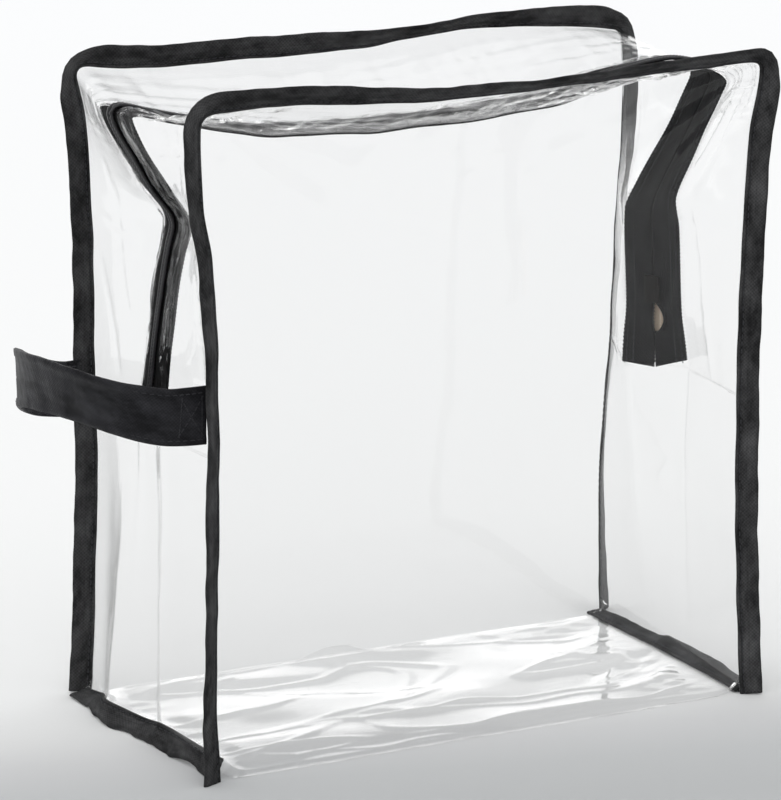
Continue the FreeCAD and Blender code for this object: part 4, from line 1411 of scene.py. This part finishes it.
def light_the_studio():
    """An even white world for cloth and floor; mirrors see a bright horizon, a grey ceiling and softboxes."""
    scene = bpy.context.scene
    scene.world = scene.world or bpy.data.worlds.new("studio")
    nodes = Nodes("studio", scene.world)
    toward = nodes.add("TexCoord").outputs["Generated"]
    parts = nodes.add("SeparateXYZ", toward).outputs
    seen = nodes.add("ValToRGB", nodes.add("Math MULTIPLY_ADD", parts["Z"], 0.5, 0.5, use_clamp=True))
    set_tones(seen, [(0.0, "#d4d4d5"), (0.49, "#f0f0f0"), (0.505, "#fdfdfd"), (0.705, "#fbfbfb"),
                     (0.73, "#b2b3b5"), (0.80, "#bdbec0"), (0.88, "#cccdce"), (0.97, "#f2f2f2")])
    ahead = nodes.add("VectorMath DOT_PRODUCT", toward, VIEW_ALONG)
    room = nodes.add("Math MULTIPLY_ADD", ahead, 1.1, 0.62, use_clamp=True)
    seen = nodes.add("Mix", room, linear("#77787a"), seen, data_type="RGBA")
    boxes = strip_lights(nodes, parts, room)
    glow = back_softbox(nodes, parts, ahead)
    strength = nodes.add("Math ADD", nodes.add("Math ADD", boxes, glow), 1.0)
    plain = nodes.add("Background", linear("#ffffff"), 0.80)
    mirrored = nodes.add("Background", seen, strength)
    backdrop = nodes.add("Background", linear("#fcfdfe"), 1.0)
    path = nodes.add("LightPath").outputs
    shiny = nodes.add("Math ADD", path["Is Glossy Ray"], path["Is Transmission Ray"], use_clamp=True)
    lit = nodes.add("MixShader", shiny, plain, mirrored)
    nodes.surface(nodes.add("MixShader", path["Is Camera Ray"], lit, backdrop))
    bpy.ops.object.light_add(type="SUN", rotation=(math.radians(30), math.radians(-24), 0))
    lamp = bpy.context.active_object
    lamp.name = "wide_soft_lamp"
    lamp.data.energy = 0.75
    lamp.data.angle = math.radians(60)


def make_stage():
    """A paper floor under a white studio."""
    bpy.ops.object.select_all(action="DESELECT")
    bpy.ops.mesh.primitive_plane_add(size=9.0)
    floor = bpy.context.active_object
    floor.name = floor.data.name = "paper_floor"
    floor.data.materials.append(paper_floor())
    light_the_studio()
    bpy.context.scene.view_settings.view_transform = "Standard"
    bpy.context.scene.cycles.transparent_max_bounces = 64
    bpy.context.scene.cycles.max_bounces = 16


def make_camera():
    """A long lens from the front left, looking a little down on the bag."""
    camera = bpy.data.objects.new("studio_camera", bpy.data.cameras.new("studio_camera"))
    bpy.context.collection.objects.link(camera)
    camera.data.lens = 196.75
    camera.data.sensor_width = 36.0
    camera.data.clip_end = 60.0
    camera.matrix_world = (Matrix.Translation((-0.971869, -1.678702, 0.616528))
                           @ Matrix.Rotation(math.radians(-29.684), 4, "Z")
                           @ Matrix.Rotation(math.radians(90 - 13.802), 4, "X")
                           @ Matrix.Rotation(math.radians(0.663), 4, "Z"))
    bpy.context.scene.camera = camera


# Add-on

class BagSizes(bpy.types.PropertyGroup):
    """Sizes that a maker would change."""
    binding_width: FloatProperty(name="Binding width", description="Width of the folded tape over each seam",
                                 default=BINDING_REACH * MM, unit="LENGTH", subtype="DISTANCE", precision=4)
    film_thickness: FloatProperty(name="Film thickness", description="Thickness of the clear film",
                                  default=0.4 * MM, unit="LENGTH", subtype="DISTANCE", precision=4)
    ripple_height: FloatProperty(name="Base ripples", description="Height of the ripples in the base",
                                 default=3.2 * MM, unit="LENGTH", subtype="DISTANCE", precision=4)
    wrinkle_height: FloatProperty(name="Strip wrinkles",
                                  description="Height of the creases beside the zipper",
                                  default=0.95 * MM, unit="LENGTH", subtype="DISTANCE", precision=4)


def colour_property(name, description, hex_colour):
    """A colour that shows in the panel, with its default as a hex string."""
    return FloatVectorProperty(name=name, description=description, default=as_property(hex_colour),
                               subtype="COLOR_GAMMA", size=3, min=0.0, max=1.0)


class BagColours(bpy.types.PropertyGroup):
    """Colours that a maker would change."""
    film: colour_property("Film", "Tint of the clear film, face on", "#fefefe")
    binding: colour_property("Binding", "Folded tape over the seams", "#131314")
    tape: colour_property("Zipper tape", "Woven tape of the zipper", "#0c0c0d")
    coil: colour_property("Zipper coil", "Coil of the zipper", "#0e0e10")
    strap: colour_property("Strap", "Folded strap of the handle", "#111113")
    slider: colour_property("Slider", "Plating of the slider", "#121110")
    puller: colour_property("Puller", "Plating of the puller", "#e6d2bb")


class TOILETRY_BAG_OT_camera(bpy.types.Operator):
    """Sets up the camera."""
    bl_idname = "toiletry_bag.camera"
    bl_label = "Camera"

    def execute(self, context):
        make_camera()
        return {"FINISHED"}


class TOILETRY_BAG_OT_stage(bpy.types.Operator):
    """Makes the floor and the light."""
    bl_idname = "toiletry_bag.stage"
    bl_label = "Stage"

    def execute(self, context):
        make_stage()
        return {"FINISHED"}


class TOILETRY_BAG_OT_film(bpy.types.Operator):
    """Makes the film of the front, base, back and sides."""
    bl_idname = "toiletry_bag.film"
    bl_label = "Film"

    def execute(self, context):
        make_film()
        return {"FINISHED"}


class TOILETRY_BAG_OT_strips(bpy.types.Operator):
    """Makes the film beside the zipper."""
    bl_idname = "toiletry_bag.strips"
    bl_label = "Zipper film"

    def execute(self, context):
        make_strips()
        return {"FINISHED"}


class TOILETRY_BAG_OT_bindings(bpy.types.Operator):
    """Makes the folded tapes over the seams."""
    bl_idname = "toiletry_bag.bindings"
    bl_label = "Bindings"

    def execute(self, context):
        make_bindings()
        return {"FINISHED"}


class TOILETRY_BAG_OT_tapes(bpy.types.Operator):
    """Makes the two zipper tapes."""
    bl_idname = "toiletry_bag.tapes"
    bl_label = "Zipper tapes"

    def execute(self, context):
        make_tapes()
        return {"FINISHED"}


class TOILETRY_BAG_OT_coils(bpy.types.Operator):
    """Makes the two halves of the zipper's coil."""
    bl_idname = "toiletry_bag.coils"
    bl_label = "Zipper coils"

    def execute(self, context):
        make_coils()
        return {"FINISHED"}


class TOILETRY_BAG_OT_stitching(bpy.types.Operator):
    """Sews the bindings and the zipper tapes."""
    bl_idname = "toiletry_bag.stitching"
    bl_label = "Stitching"

    def execute(self, context):
        make_stitching()
        return {"FINISHED"}


class TOILETRY_BAG_OT_stops(bpy.types.Operator):
    """Makes the stops at the zipper's ends."""
    bl_idname = "toiletry_bag.stops"
    bl_label = "End stops"

    def execute(self, context):
        make_stops()
        return {"FINISHED"}


class TOILETRY_BAG_OT_slider(bpy.types.Operator):
    """Makes the zipper's slider."""
    bl_idname = "toiletry_bag.slider"
    bl_label = "Slider"

    def execute(self, context):
        make_slider()
        return {"FINISHED"}


class TOILETRY_BAG_OT_puller(bpy.types.Operator):
    """Makes the slider's puller."""
    bl_idname = "toiletry_bag.puller"
    bl_label = "Puller"

    def execute(self, context):
        make_puller()
        return {"FINISHED"}


class TOILETRY_BAG_OT_handle(bpy.types.Operator):
    """Makes the strap handle and its sewing."""
    bl_idname = "toiletry_bag.handle"
    bl_label = "Handle"

    def execute(self, context):
        make_handle()
        return {"FINISHED"}


# In the order in which they are built
STEPS = [
    TOILETRY_BAG_OT_camera,
    TOILETRY_BAG_OT_stage,
    TOILETRY_BAG_OT_film,
    TOILETRY_BAG_OT_strips,
    TOILETRY_BAG_OT_bindings,
    TOILETRY_BAG_OT_tapes,
    TOILETRY_BAG_OT_coils,
    TOILETRY_BAG_OT_stitching,
    TOILETRY_BAG_OT_stops,
    TOILETRY_BAG_OT_slider,
    TOILETRY_BAG_OT_puller,
    TOILETRY_BAG_OT_handle,
]


class TOILETRY_BAG_PT_panel(bpy.types.Panel):
    """Lists the bag's sizes, colours and pieces."""
    bl_idname = "TOILETRY_BAG_PT_panel"
    bl_label = "Toiletry Bag"
    bl_space_type = "VIEW_3D"
    bl_region_type = "UI"
    bl_category = "Toiletry Bag"

    def draw(self, context):
        for group in (context.scene.bag_sizes, context.scene.bag_colours):
            for name in group.__annotations__:
                self.layout.prop(group, name)
        for step in STEPS:
            self.layout.operator(step.bl_idname)


def register():
    for cls in [BagSizes, BagColours, *STEPS, TOILETRY_BAG_PT_panel]:
        bpy.utils.register_class(cls)
    bpy.types.Scene.bag_sizes = PointerProperty(type=BagSizes)
    bpy.types.Scene.bag_colours = PointerProperty(type=BagColours)


def unregister():
    del bpy.types.Scene.bag_colours
    del bpy.types.Scene.bag_sizes
    for cls in [TOILETRY_BAG_PT_panel, *STEPS[::-1], BagColours, BagSizes]:
        bpy.utils.unregister_class(cls)


def main():
    register()
    for step in STEPS:
        getattr(bpy.ops.toiletry_bag, step.bl_idname.split(".")[1])()


if __name__ == "__main__":
    main()
